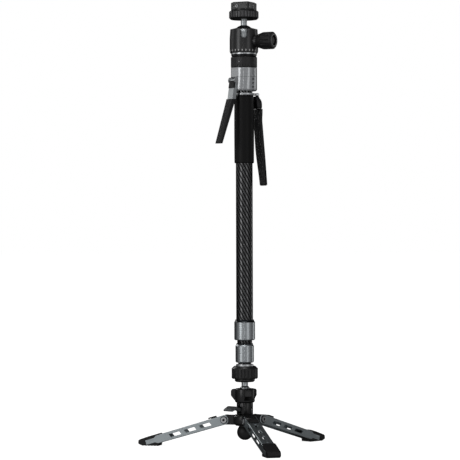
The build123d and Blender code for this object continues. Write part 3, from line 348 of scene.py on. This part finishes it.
# A leg's line runs from its pivot down to the end of its channel
LEG_PIVOT_REACH, LEG_PIVOT_Z = 33.5, 46.0
CHANNEL_END, CHANNEL_END_Z, CHANNEL_HALF, SCREW_HEAD = 121.0, 11.23, 10.75, 1.8
LEG_SLOPE = math.asin((LEG_PIVOT_Z - CHANNEL_END_Z) / CHANNEL_END)
LEGS = {"front": 14.4, "left": -105.6, "right": 134.4}
grey = (0.47, 0.5, 0.515)
leg_grey = (0.44, 0.485, 0.5)
materials = {
    "black_anodised": anodised("black_anodised", (0.008, 0.008, 0.0083), 0.28, 0.38, 0.0),
    "head_black": anodised("head_black", (0.05, 0.05, 0.0505), 0.27, 0.3, 0.7, 0.05),
    "clamp_black": anodised("clamp_black", (0.004, 0.004, 0.0042), 0.24, 0.32, 0.0),
    "bare_metal_and_glint": anodised("bare_metal_and_glint", (0.55, 0.56, 0.57), 0.25, 0.35, 1.0),
    "base_black": anodised("base_black", (0.006, 0.006, 0.0062), 0.2, 0.3, 0.0),
    "grey_anodised": lathed("grey_anodised", grey, 0.36, 0.44),
    # The dark band round the top of each collar is painted shade at its upper end, where it meets the tube
    # above.
    "collar_grey_1": lathed("collar_grey_1", grey, 0.26, 0.32,
                            dark_band("end_collar_1", 1, -0.0021, 0.0023)),
    "collar_grey_2": lathed("collar_grey_2", grey, 0.26, 0.32,
                            dark_band("end_collar_2", 1, -0.0008, 0.0012)),
    "housing_grey": lathed("housing_grey", (0.46, 0.475, 0.485), 0.15, 0.2, ((0.6172, 0.00022),), 0.5),
    "blasted_grey": anodised("blasted_grey", (0.6, 0.63, 0.64), 0.32, 0.42),
    "pedal_grey": anodised("pedal_grey", (0.16, 0.168, 0.172), 0.34, 0.46, 0.9),
    "bright_ring": lathed("bright_ring", (0.66, 0.68, 0.69), 0.28, 0.36),
    "head_ring": lathed("head_ring", (0.66, 0.68, 0.69), 0.28, 0.36,
                        dark_band("head_base", 0, 0.0006, 0.0009)),
    "polished": polished("polished_aluminium", (0.5, 0.53, 0.54), 0.26, 0.34),
    "steel": polished("steel", (0.62, 0.63, 0.64), 0.24, 0.36),
    "strap_metal": anodised("strap_metal", (0.62, 0.64, 0.65), 0.3, 0.4),
    "knob_ring": anodised("knob_ring", (0.16, 0.16, 0.165), 0.22, 0.32, 0.9),
    "pan_knurl": knurled("pan_knurl", (0.008, 0.008, 0.0083), 24, 0.1174, 0.1308, 0.0002),
    "lock_knurl": knurled("lock_knurl", (0.006, 0.006, 0.0062), 90, 0.634, 0.65, 0.00005),
    "clamp_knurl": knurled("clamp_knurl", (0.05, 0.05, 0.051), 14, 0.716, 0.7256, 0.0005, 0.8),
    "black_rubber": rubber("black_rubber"),
    "foot_rubber": rubber("foot_rubber", (0.009, 0.009, 0.0093), 0.4, 0.56, 2.0),
    "lever_rubber": rubber("lever_rubber", (0.012, 0.012, 0.0125), 0.42, 0.55, 4.0),
    "knob_rubber": rubber("knob_rubber", (0.008, 0.008, 0.0083), 0.38, 0.52, 6.0),
    "plastic": rubber("black_plastic", (0.01, 0.01, 0.0105), 0.3, 0.42, 8.0),
    "acetal": rubber("acetal", (0.05, 0.05, 0.052), 0.3, 0.4, 9.0),
    "foam": foam("foam"),
}
for name, azimuth in LEGS.items():
    materials["leg_" + name] = brushed("leg_grey_" + name, leg_grey, 0.3, 0.44, azimuth, LEG_SLOPE)
# Tubes 2 and 3 take half the light in their weave: painted shade for the gaps under the collars.
for number, radius, painted_shade_scale in (("1", 0.014, 1.0), ("2", 0.0125, 0.5), ("3", 0.011, 0.5)):
    materials["carbon_" + number] = carbon("carbon_" + number, radius, painted_shade_scale)

finish_of = {
    "black_anodised": ["base_flange", "pan_fitting", "head_platform"],
    "clamp_black": ["clamp_base", "clamp_jaw", "qr_plate"],
    "base_black": ["base_hub", "base_column", "tilt_lock_collar"],
    "head_black": ["head_body"],
    "grey_anodised": ["release_tube", "release_cam_3", "release_rod", "lock_plug_2", "lock_plug_3"],
    "collar_grey_1": ["end_collar_1"],
    "collar_grey_2": ["end_collar_2"],
    "blasted_grey": ["hand_lever"],
    "pedal_grey": ["pedal"],
    "bright_ring": ["tube_3_end_ring"],
    "head_ring": ["head_base"],
    "strap_metal": ["strap_ring"],
    "polished": ["base_ball_stem", "head_ball_stem"],
    "steel": ["pedal_pin", "seat_plunger", "cup_springs", "lever_pin", "leg_pivot_screws", "camera_screw"],
    "pan_knurl": ["pan_lock_collar"],
    "lock_knurl": ["head_lock_collar"],
    "clamp_knurl": ["clamp_ring"],
    "black_rubber": ["plate_pad"],
    "foot_rubber": ["dome_foot"],
    "lever_rubber": ["lever_grip"],
    "knob_rubber": ["lock_knob"],
    "plastic": ["leg_latch_front", "leg_latch_left", "leg_latch_right"],
    "acetal": ["ball_seat", "guide_bush_1", "guide_bush_2", "lock_ring_2", "lock_ring_3", "shift_sleeve",
               "ball_cup"],
    "leg_front": ["leg_channel_front"],
    "leg_left": ["leg_channel_left"],
    "leg_right": ["leg_channel_right"],
    "carbon_1": ["tube_1"],
    "carbon_2": ["tube_2"],
    "carbon_3": ["tube_3"],
}
for name, nodes in finish_of.items():
    for node in nodes:
        NODES[node].data.materials.clear()
        NODES[node].data.materials.append(materials[name])


# Soft edges on the machined pieces, which the CAD leaves sharp
def soften(obj, width, segments=2, angle=40):
    weld = obj.modifiers.new("weld", "WELD")
    weld.merge_threshold = 0.001 * MM
    mod = obj.modifiers.new("edge", "BEVEL")
    mod.width = width * MM
    mod.segments = segments
    mod.limit_method = "ANGLE"
    mod.angle_limit = math.radians(angle)
    mod.use_clamp_overlap = True
    mod.harden_normals = True
    return mod


edge_of = {
    0.5: ["base_hub", "tilt_lock_collar", "hand_lever"],
    0.4: ["base_column", "strap_ring", "lever_grip"],
    0.3: ["base_flange", "lock_knob", "pedal", "head_platform",
          "leg_channel_front", "leg_channel_left", "leg_channel_right"],
    0.2: ["clamp_ring", "leg_latch_front", "leg_latch_left", "leg_latch_right"],
}
for width, nodes in edge_of.items():
    for node in nodes:
        soften(NODES[node], width)
# Painted highlight: the bevels of the clamp, its jaw and its plate take a bright metal, lighter than their
# black.
for node in ("clamp_base", "clamp_jaw", "qr_plate"):
    NODES[node].data.materials.append(materials["bare_metal_and_glint"])
    soften(NODES[node], 0.5).material = 1  # bare_metal_and_glint on the bevel only


# Mesh helpers for the pieces made here
def mesh_piece(name, verts, faces, mat, smooth=True):
    mesh = bpy.data.meshes.new(name)
    mesh.from_pydata([tuple(v) for v in verts], [], faces)
    mesh.validate()
    shell = bmesh.new()
    shell.from_mesh(mesh)
    bmesh.ops.recalc_face_normals(shell, faces=shell.faces)
    shell.to_mesh(mesh)
    shell.free()
    obj = bpy.data.objects.new(name, mesh)
    bpy.context.scene.collection.objects.link(obj)
    mesh.materials.append(mat)
    for face in mesh.polygons:
        face.use_smooth = smooth
    return obj


def ring_of(count):
    """The angles of points evenly round a circle."""
    return [2 * math.pi * i / count for i in range(count)]


def torus_faces(base, count, size):
    """Quads of a ring of count sections, each a loop of size points, from vertex base on."""
    faces = []
    for i in range(count):
        j = (i + 1) % count
        for k in range(size):
            m = (k + 1) % size
            faces.append(tuple(base + v for v in (i * size + k, j * size + k, j * size + m, i * size + m)))
    return faces


def lathe_piece(name, profile, mat, count=96, smooth=True, place=Vector):
    """A closed turned piece from (radius, height) points; place puts each point in the model's frame."""
    verts = []
    for a in ring_of(count):
        verts += [place((r * math.cos(a), r * math.sin(a), z)) for r, z in profile]
    return mesh_piece(name, verts, torus_faces(0, count, len(profile)), mat, smooth)


# Foam grip: a soft sleeve, a little fuller in its middle, with rolled ends
def grip_foam():
    low, high, bore, outer = 473.6, 586.0, 14.02, 16.3
    roll, crown, bore_inset = 2.0, 0.25, 0.6
    steps, rows = 8, 24
    profile = [(bore, low + bore_inset), (bore, high - bore_inset)]
    for i in range(steps + 1):
        a = math.pi / 2 * i / steps
        profile.append((outer - roll + roll * math.sin(a), high - roll + roll * math.cos(a)))
    for i in range(1, rows):
        share = i / rows
        z = (high - roll) + (low - high + 2 * roll) * share
        profile.append((outer + crown * math.sin(math.pi * share), z))
    for i in range(steps + 1):
        a = math.pi / 2 * i / steps
        profile.append((outer - roll + roll * math.cos(a), low + roll - roll * math.sin(a)))
    obj = lathe_piece("grip_foam", [(r * MM, z * MM) for r, z in profile], materials["foam"])
    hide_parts("grip_sleeve")
    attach(obj, "upper_tube")


# Strap: the pin it hangs from, its lean, and where its loop begins and ends below the pin
STRAP_AZIMUTH, STRAP_REACH, STRAP_Z, STRAP_LEAN = 110.0, 23.2, 588.5, math.radians(4.4)
LOOP_TOP, LOOP_BOTTOM = -24.1, -151.7


def ease(value):
    value = max(0.0, min(1.0, value))
    return value * value * (3 - 2 * value)


def strap_place(x, y, z):
    """Millimetres out, across and up from the strap's pin, as a point in metres.

    The strap turns a little just below its pin, and the loop lies nearer to the grip below the
    clip. Both come back towards the strap's end.
    """
    draw_most, turn_most = 2.2, 15.0
    share = (LOOP_TOP - z) / (LOOP_TOP - LOOP_BOTTOM)
    draw = draw_most * ease(share / 0.18) * (1 - 0.9 * ease((share - 0.45) / 0.55))
    turn = turn_most * ease(-z / 10.0) * (1 - 0.7 * ease((share - 0.5) / 0.5))
    p = STRAP_REACH - z * math.sin(STRAP_LEAN) - draw
    height = STRAP_Z + x * math.sin(STRAP_LEAN) + z * math.cos(STRAP_LEAN)
    azimuth = STRAP_AZIMUTH + turn
    flat = outward(STRAP_AZIMUTH) * p + outward(azimuth) * x * math.cos(STRAP_LEAN) + sideways(azimuth) * y
    return Vector((flat.x, flat.y, height)) * MM


def loop_path(layer, middle):
    """The loop's centre line, down one layer, round its end and up the other."""
    run, end_steps, closest = 44, 12, 0.05
    near = layer / 2 + closest

    def wave(share):
        return 0.25 * math.sin(share * 5.0)

    def point(share, face):
        """The layers are joined at the clip and stand apart below it."""
        apart = 0.5 + 0.5 * math.sin(math.pi * min(1.0, share * 1.25) - math.pi / 2)
        off = near + (middle - near) * apart
        return wave(share) + face * off, LOOP_TOP + (LOOP_BOTTOM + middle - LOOP_TOP) * share

    path = [point(i / run, 1) for i in range(run + 1)]
    for i in range(1, end_steps):
        a = math.pi * i / end_steps
        path.append((wave(1.0) + middle * math.cos(a), LOOP_BOTTOM + middle - middle * math.sin(a)))
    return path + [point(1 - i / run, -1) for i in range(run + 1)]


def strap_loop():
    layer, gap, half_width, points = 1.5, 1.5, 11.0, 13
    pin = at(STRAP_AZIMUTH, STRAP_REACH, 0, STRAP_Z)
    mat = webbing("webbing", pin, STRAP_AZIMUTH)
    path = loop_path(layer, (layer + gap) / 2)
    section = []
    for i in range(points):
        y = -1 + 2 * i / (points - 1)
        thick = layer / 2 * (1 - 0.55 * abs(y) ** 10)
        section.append((y * half_width, thick))
    ring = section + [(y, -t) for y, t in reversed(section)]
    verts, faces = [], []
    for k, (x, z) in enumerate(path):
        ax, az = path[max(k - 1, 0)]
        bx, bz = path[min(k + 1, len(path) - 1)]
        length = math.hypot(bx - ax, bz - az)
        nx, nz = -(bz - az) / length, (bx - ax) / length
        for y, t in ring:
            verts.append(strap_place(x + nx * t, y, z + nz * t))
    size = len(ring)
    for k in range(len(path) - 1):
        for i in range(size):
            j = (i + 1) % size
            faces.append((k * size + i, k * size + j, (k + 1) * size + j, (k + 1) * size + i))
    faces.append(tuple(range(size)))
    last = (len(path) - 1) * size
    faces.append(tuple(last + i for i in reversed(range(size))))
    obj = mesh_piece("strap_loop", verts, faces, mat)
    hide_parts("strap_webbing")
    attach(obj, "strap")
    length = sum(math.dist(path[i], path[i + 1]) for i in range(len(path) - 1)) * MM
    stitches = strap_stitches()


def strap_buckle():
    """The moulded clip: an eye round the lug's pin, widening into the body that holds the loop."""
    bore, outer, half, edge, around = 1.32, 2.55, 2.9, 0.3, 32
    eye = ((bore, -half), (outer - edge, -half), (outer, -half + edge), (outer, half - edge),
           (outer - edge, half), (bore, half))
    verts = [strap_place(r * math.cos(a), y, r * math.sin(a)) for a in ring_of(around) for r, y in eye]
    faces = torus_faces(0, around, len(eye))
    base = len(verts)
    # Height, half width, and thickness towards the grip and away from it
    levels = ((-2.4, 2.8, 4.6, 1.4), (-3.2, 3.6, 5.4, 2.2), (-5.6, 4.2, 6.0, 2.5), (-7.6, 5.6, 6.3, 3.0),
              (-9.6, 7.4, 6.5, 3.5), (-12.5, 8.4, 6.6, 3.9), (-17.0, 8.6, 6.9, 4.1), (-21.5, 8.4, 6.4, 3.8),
              (-23.4, 7.9, 5.4, 3.1), (-24.0, 7.2, 4.4, 2.4))
    count, squareness = 28, 0.5
    for z, wide, grip_side, far_side in levels:
        for a in ring_of(count):
            c, s = math.cos(a), math.sin(a)
            x = (far_side if c > 0 else grip_side) * math.copysign(abs(c) ** squareness, c)
            y = wide * math.copysign(abs(s) ** squareness, s)
            verts.append(strap_place(x, y, z))
    for row in range(len(levels) - 1):
        for i in range(count):
            j = (i + 1) % count
            a, b = base + row * count, base + (row + 1) * count
            faces.append((a + i, a + j, b + j, b + i))
    faces.append(tuple(base + i for i in range(count)))
    faces.append(tuple(base + (len(levels) - 1) * count + i for i in reversed(range(count))))
    obj = mesh_piece("strap_buckle", verts, faces, materials["plastic"])
    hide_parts("strap_clip")
    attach(obj, "strap")


def strap_stitches():
    """Bar tacks through both layers, under the clip, on both faces."""
    s = Shade("thread", 0.0)
    grain(s, (0.05, 0.05, 0.052), 0.3, 0.5, 0.7, 2500.0, 0.00002, 5.0)
    verts, faces = [], []
    rows, count, half_row = (-28.5, -31.5, -40.5, -43.5), 15, 8.4
    stitch = ((-0.42, 0, 0), (0, 0, -0.16), (0.42, 0, 0), (0, 0, 0.16), (0, 0.16, 0))
    for face in (-1, 1):
        for z in rows:
            for i in range(count):
                y = -half_row + 2 * half_row * i / (count - 1)
                base = len(verts)
                lift = 1.66 + 0.7 * (z - LOOP_TOP) / (LOOP_BOTTOM - LOOP_TOP)
                for dy, dx, dz in stitch:
                    verts.append(strap_place(face * (lift + dx), y + dy, z + dz + dy * 0.2))
                for a, b in ((0, 1), (1, 2), (2, 3), (3, 0)):
                    faces.append((base + a, base + b, base + 4))
    obj = mesh_piece("strap_stitches", verts, faces, s.mat)
    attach(obj, "strap")
    return obj


# Legs: rubber feet, dark rings of painted shade round the pivot screws' heads, and the sockets of those
# screws, dark discs of painted shade
TOE, HALF_HEIGHT = 154.0, 7.1


def leg_plane(u, v):
    """(reach, height) of a point along and above a leg's own line."""
    return (LEG_PIVOT_REACH + u * math.cos(LEG_SLOPE) + v * math.sin(LEG_SLOPE),
            LEG_PIVOT_Z - u * math.sin(LEG_SLOPE) + v * math.cos(LEG_SLOPE))


def leg_point(azimuth, u, v, across):
    reach, z = leg_plane(u, v)
    return at(azimuth, reach, across, z)


def leg_foot(name, azimuth):
    sole = [(183.5, 4.4), (182.6, 2.6), (176.0, 0.0)]
    first_groove, groove_step, grooves = 172.5, 5.2, 5
    for i in range(grooves):
        x = first_groove - groove_step * i
        sole += [(x + 0.9, 0.0), (x + 0.4, 0.7), (x - 0.4, 0.7), (x - 0.9, 0.0)]
    sole += [(148.2, 0.0), leg_plane(CHANNEL_END, -HALF_HEIGHT)]
    outer = [leg_plane(CHANNEL_END, 7.15), leg_plane(116.5, 7.17), leg_plane(117.6, 9.0),
             leg_plane(136.0, 9.0), leg_plane(151.0, 8.4), leg_plane(TOE, 7.3)] + sole
    inner = [leg_plane(127.05, -3.8), leg_plane(142.55, -3.8), leg_plane(142.55, 3.8), leg_plane(127.0, 3.8)]
    ring = outer + inner
    verts = [at(azimuth, reach, w, z) for w in (-11.0, -8.9, 8.9, 11.0) for reach, z in ring]
    faces = []
    size, rim = len(ring), len(outer)
    for k in range(3):
        for i in range(rim - 1):
            faces.append((k * size + i, k * size + i + 1, (k + 1) * size + i + 1, (k + 1) * size + i))
    for k in (0, 2):
        for i in range(rim - 1, size):
            j = (i + 1) % size
            faces.append((k * size + i, k * size + j, (k + 1) * size + j, (k + 1) * size + i))
    faces.append((size + rim - 1, size, 2 * size, 2 * size + rim - 1))
    for k in (1, 2):
        faces.append(tuple(k * size + i % size for i in range(rim - 1, size + 1)))
    for k in (0, 3):
        faces.append(tuple(k * size + i for i in range(size)))
    obj = mesh_piece("foot_" + name, verts, faces, materials["foot_rubber"], False)
    soften(obj, 0.6, 3, 25)
    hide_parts("leg_foot_" + name)
    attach(obj, "leg_" + name)


def leg_screw_shade_rings(name, azimuth):
    profile = [(4.86, 0.04), (4.86, 0.45), (5.1, 0.6), (6.0, 0.6), (6.35, 0.3), (6.35, 0.04)]
    verts, faces, count = [], [], 48
    for side in (-1, 1):
        faces += torus_faces(len(verts), count, len(profile))
        for a in ring_of(count):
            for r, w in profile:
                verts.append(leg_point(azimuth, r * math.cos(a), r * math.sin(a), side * (CHANNEL_HALF + w)))
    # Painted shade: a dark ring round each screw head, for the gap round it.
    obj = mesh_piece("leg_screw_shade_rings_" + name, verts, faces, materials["plastic"])
    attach(obj, "leg_" + name)


def leg_sockets(name, azimuth):
    """A six-sided socket of painted shade, a flat dark disc, with a bright lip in the outer face of each
    pivot screw head.
    """
    rim = [(2.5, 0.02), (2.5, 0.12), (2.65, 0.2), (3.1, 0.2), (3.25, 0.1), (3.25, 0.02)]
    floor = [(0.1, 0.02), (0.1, 0.07), (2.45, 0.07), (2.45, 0.02)]
    for tail, side in (("_1", -1), ("_2", 1)):
        def place(point):
            return leg_point(azimuth, point[0], point[1], side * (CHANNEL_HALF + SCREW_HEAD + point[2]))

        lip = lathe_piece("screw_lip_" + name + tail, rim, materials["steel"], 32, True, place)
        # Painted shade: a flat dark disc for the recess of the socket.
        hole = lathe_piece("screw_socket_" + name + tail, floor, materials["black_rubber"], 6, False, place)
        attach(lip, "base")
        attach(hole, "base")


def housing():
    """The housing with its groove and three small holes further round and a little higher than in the CAD,
    and the holes larger, with painted shade inside them."""
    shift, lift, grow, rows = 18.0, 2.5, 1.4, (597.4, 604.0, 610.6)
    hole_azimuth, hole_sides, hole_heights = 25.0, (20.0, 30.0), (596.0, 613.0)
    first, last, wall_inside, wall_outside = 3.0, 75.0, 20.0, 21.55
    mesh = NODES["top_housing"].data.copy()
    for vert in mesh.vertices:
        x, y, z = vert.co
        radius, azimuth = math.hypot(x, y), azimuth_of(x, y)
        if radius < wall_inside * MM or not first < azimuth < last:
            continue
        if hole_sides[0] < azimuth < hole_sides[1] and hole_heights[0] * MM < z < hole_heights[1] * MM:
            row = min(rows, key=lambda place: abs(z - place * MM)) * MM
            z = row + grow * (z - row) + lift * MM
            azimuth = hole_azimuth + grow * (azimuth - hole_azimuth)
        azimuth += shift * min(1.0, (azimuth - first) / 7.0, (last - azimuth) / 46.0)
        vert.co = outward(azimuth) * radius + Vector((0, 0, z))
    mesh.materials.clear()
    mesh.materials.append(materials["housing_grey"])
    # The holes' walls take the black plastic: painted shade inside them.
    mesh.materials.append(materials["plastic"])
    for face in mesh.polygons:
        x, y, z = face.center
        in_wall = wall_inside * MM < math.hypot(x, y) < wall_outside * MM
        in_row = min(abs(z - (row + lift) * MM) for row in rows) < 1.7 * MM
        if in_wall and in_row and abs(azimuth_of(x, y) - hole_azimuth - shift) < 5.0:
            face.material_index = 1
    obj = bpy.data.objects.new("housing", mesh)
    bpy.context.scene.collection.objects.link(obj)
    soften(obj, 0.3)
    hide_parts("top_housing")
    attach(obj, "upper_tube")


# Lever: a dark block on the outer face of its head, between the housing's lugs: painted shade for the dark
# slot between them
LEVER_AZIMUTH, LEVER_REACH, LEVER_Z = -50.0, 22.5, 611.0


def lever_shade_block():
    side, half_width = [(1.2, 1.6), (4.3, 0.6), (6.5, 13.2), (2.0, 13.2)], 6.36
    verts = [at(LEVER_AZIMUTH, LEVER_REACH + out, w, LEVER_Z - down)
             for w in (-half_width, half_width) for out, down in side]
    faces = [(i, (i + 1) % 4, 4 + (i + 1) % 4, 4 + i) for i in range(4)]
    faces += [(0, 1, 2, 3), (7, 6, 5, 4)]
    obj = mesh_piece("lever_shade_block", verts, faces, materials["plastic"], False)
    soften(obj, 0.5, 3, 25)
    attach(obj, "hand_lever")


# Knob: bright-edged ring round the recess in its end
KNOB_AZIMUTH, KNOB_Z, KNOB_END = 61.0, 676.25, 56.5


def knob_ring():
    def place(point):
        across, up, out = point
        return at(KNOB_AZIMUTH, KNOB_END + out, across, KNOB_Z + up)

    profile = [(8.85, -2.4), (8.85, 0.2), (9.1, 0.45), (9.9, 0.45), (10.2, 0.2), (10.2, -0.4),
               (9.2, -0.4), (9.2, -2.4)]
    obj = lathe_piece("knob_ring", profile, materials["knob_ring"], 64, False, place)
    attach(obj, "lock_knob")


# Painted marks
def paint(name, colour):
    s = Shade(name, 0.0)
    grain(s, colour, 0.05, 0.45, 0.55, 1200.0, 0.00001, 1.0)
    return s.mat


def pan_ticks():
    """White degree ticks round the foot of the ball head."""
    heights = ((659.3, 23.52), (660.15, 23.81), (662.4, 23.81))
    proud, half, count, first = 0.05, 0.75, 24, 7.5
    verts, faces = [], []
    for i in range(count):
        base = len(verts)
        for z, r in heights:
            for across in (-half, 0, half):
                out = math.sqrt((r + proud) ** 2 - across ** 2)
                verts.append(at(first + 360 / count * i, out, across, z))
        for row in range(2):
            for k in range(2):
                a = base + row * 3 + k
                faces.append((a, a + 1, a + 4, a + 3))
    obj = mesh_piece("pan_ticks", verts, faces, paint("white_paint", (0.6, 0.6, 0.59)))
    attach(obj, "head")


# Azimuth of a face, place across it, its distance from the axis in millimetres, and its body
SOCKETS = ((-26.2, -5.2, 16.6, "clamp"), (63.8, -11.5, 16.6, "clamp_jaw"), (63.8, 1.4, 16.6, "clamp"))
SOCKET_Z = 734.6


def clamp_sockets():
    """Three small screw heads in the sides of the clamp: a bright rim round a dark disc, painted shade for
    the socket.
    """
    rim = [(1.45, 0.02), (1.45, 0.1), (1.6, 0.22), (2.1, 0.22), (2.25, 0.1), (2.25, 0.02)]
    floor = [(0.1, 0.02), (0.1, 0.08), (1.44, 0.08), (1.44, 0.02)]
    for number, (azimuth, across, face, body) in enumerate(SOCKETS, 1):
        def place(point):
            return at(azimuth, face + point[2], across + point[0], SOCKET_Z + point[1])

        ring = lathe_piece("clamp_socket_rim_%d" % number, rim, materials["bare_metal_and_glint"], 32, True, place)
        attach(ring, body)
        # Painted shade: a flat dark disc for the recess of the socket.
        hole = lathe_piece("clamp_socket_%d" % number, floor, materials["black_rubber"], 32, True, place)
        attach(hole, body)


def collar_mark():
    """A small grey dot on the lock collar under the head."""
    radius, middle, azimuth, wide, high, count = 21.94, 642.0, -23.0, 1.25, 0.95, 20
    verts = [at(azimuth, radius, 0, middle)]
    for a in ring_of(count):
        turn = azimuth + math.degrees(wide * math.cos(a) / radius)
        verts.append(at(turn, radius, 0, middle + high * math.sin(a)))
    faces = [(0, 1 + i, 1 + (i + 1) % count) for i in range(count)]
    obj = mesh_piece("collar_mark", verts, faces, paint("grey_paint", (0.3, 0.3, 0.3)))
    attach(obj, "head_lock_collar")


# Camera, light and floor
def studio():
    scene = bpy.context.scene
    scene.view_settings.view_transform = "Standard"
    scene.view_settings.look = "None"
    camera = bpy.data.cameras.new("camera")
    camera.sensor_width = 36.0
    camera.lens = 172.2
    camera.clip_end = 100.0
    rig = bpy.data.objects.new("camera", camera)
    scene.collection.objects.link(rig)
    rig.matrix_world = Matrix.Translation((-0.024, -3.667, 0.3626)) @ Matrix.Rotation(math.pi / 2, 4, "X")
    rig.rotation_euler.rotate_axis("Z", math.radians(-0.15))
    scene.camera = rig

    # White where the camera sees it; the object is lit by a ramp that is darker behind it
    world = bpy.data.worlds.new("studio")
    world.use_nodes = True
    scene.world = world
    tree = world.node_tree
    tree.nodes.clear()

    def add(kind, operation=None, **sockets):
        node = tree.nodes.new("ShaderNode" + kind)
        if operation:
            node.operation = operation
        for name, value in sockets.items():
            node.inputs[name].default_value = value
        return node

    output, path, mix = add("OutputWorld"), add("LightPath"), add("MixShader")
    seen = add("Background", Color=(1, 1, 1, 1), Strength=1.0)
    lit = add("Background", Strength=1.0)
    coord, ramp = add("TexCoord"), add("ValToRGB")
    towards = add("VectorMath", "DOT_PRODUCT")
    towards.inputs[1].default_value = Vector((-0.05, -0.99, 0.1)).normalized()
    half = add("Math", "MULTIPLY_ADD")
    half.inputs[1].default_value = half.inputs[2].default_value = 0.5
    stops = ((0.0, 0.02), (0.3, 0.03), (0.46, 0.11), (0.6, 0.24), (0.85, 0.34), (1.0, 0.38))
    while len(ramp.color_ramp.elements) < len(stops):
        ramp.color_ramp.elements.new(0.5)
    for element, (position, value) in zip(ramp.color_ramp.elements, stops):
        element.position = position
        element.color = (value, value, value * 1.02, 1)
    for source, target in ((coord.outputs["Generated"], towards.inputs[0]),
                           (towards.outputs["Value"], half.inputs[0]),
                           (half.outputs[0], ramp.inputs[0]), (ramp.outputs[0], lit.inputs["Color"]),
                           (path.outputs["Is Camera Ray"], mix.inputs[0]), (lit.outputs[0], mix.inputs[1]),
                           (seen.outputs[0], mix.inputs[2]), (mix.outputs[0], output.inputs[0])):
        tree.links.new(source, target)

    def lamp(name, place, aim, width, height, power):
        data = bpy.data.lights.new(name, "AREA")
        data.shape = "RECTANGLE"
        data.size = width
        data.size_y = height
        data.energy = power
        obj = bpy.data.objects.new(name, data)
        scene.collection.objects.link(obj)
        obj.location = place
        obj.rotation_euler = (Vector(aim) - Vector(place)).to_track_quat("-Z", "Y").to_euler()

    lamp("key", (-2.0, -1.9, 0.9), (0, 0, 0.4), 0.9, 1.8, 11.2)
    lamp("fill", (1.61, -2.17, 0.7), (0, 0, 0.4), 0.7, 1.8, 3.6)
    lamp("strip", (-0.35, -2.62, 0.5), (0, 0, 0.45), 0.03, 1.6, 0.8)
    lamp("left_rim", (-2.09, 0.68, 1.05), (0, 0, 0.62), 1.2, 1.0, 2.3)
    lamp("right_rim", (1.94, 1.03, 0.6), (0, 0, 0.5), 0.9, 1.6, 3.8)
    lamp("top", (-0.2, -0.5, 2.4), (0, 0, 0.3), 1.0, 1.0, 9.0)
    lamp("back", (-1.45, 1.8, 1.5), (0, 0, 0.1), 0.4, 0.4, 4.0)

    s = Shade("floor", 0.0, 0.9)
    drift = s.noise(2.0, 1.0)
    s.colour(s.mix(drift, (0.6, 0.6, 0.6), (0.62, 0.62, 0.62)))
    s.set(Specular_IOR_Level=0.0, Emission_Color=(1, 1, 1, 1), Emission_Strength=0.9)
    side = 30.0
    square = [(-side, -side, 0), (side, -side, 0), (side, side, 0), (-side, side, 0)]
    floor = mesh_piece("floor", square, [(0, 1, 2, 3)], s.mat, False)
    floor.visible_glossy = False
    floor.visible_diffuse = False


grip_foam()
strap_buckle()
strap_loop()
for leg, leg_azimuth in LEGS.items():
    leg_foot(leg, leg_azimuth)
    leg_screw_shade_rings(leg, leg_azimuth)
    leg_sockets(leg, leg_azimuth)
housing()
lever_shade_block()
knob_ring()
pan_ticks()
collar_mark()
clamp_sockets()
studio()
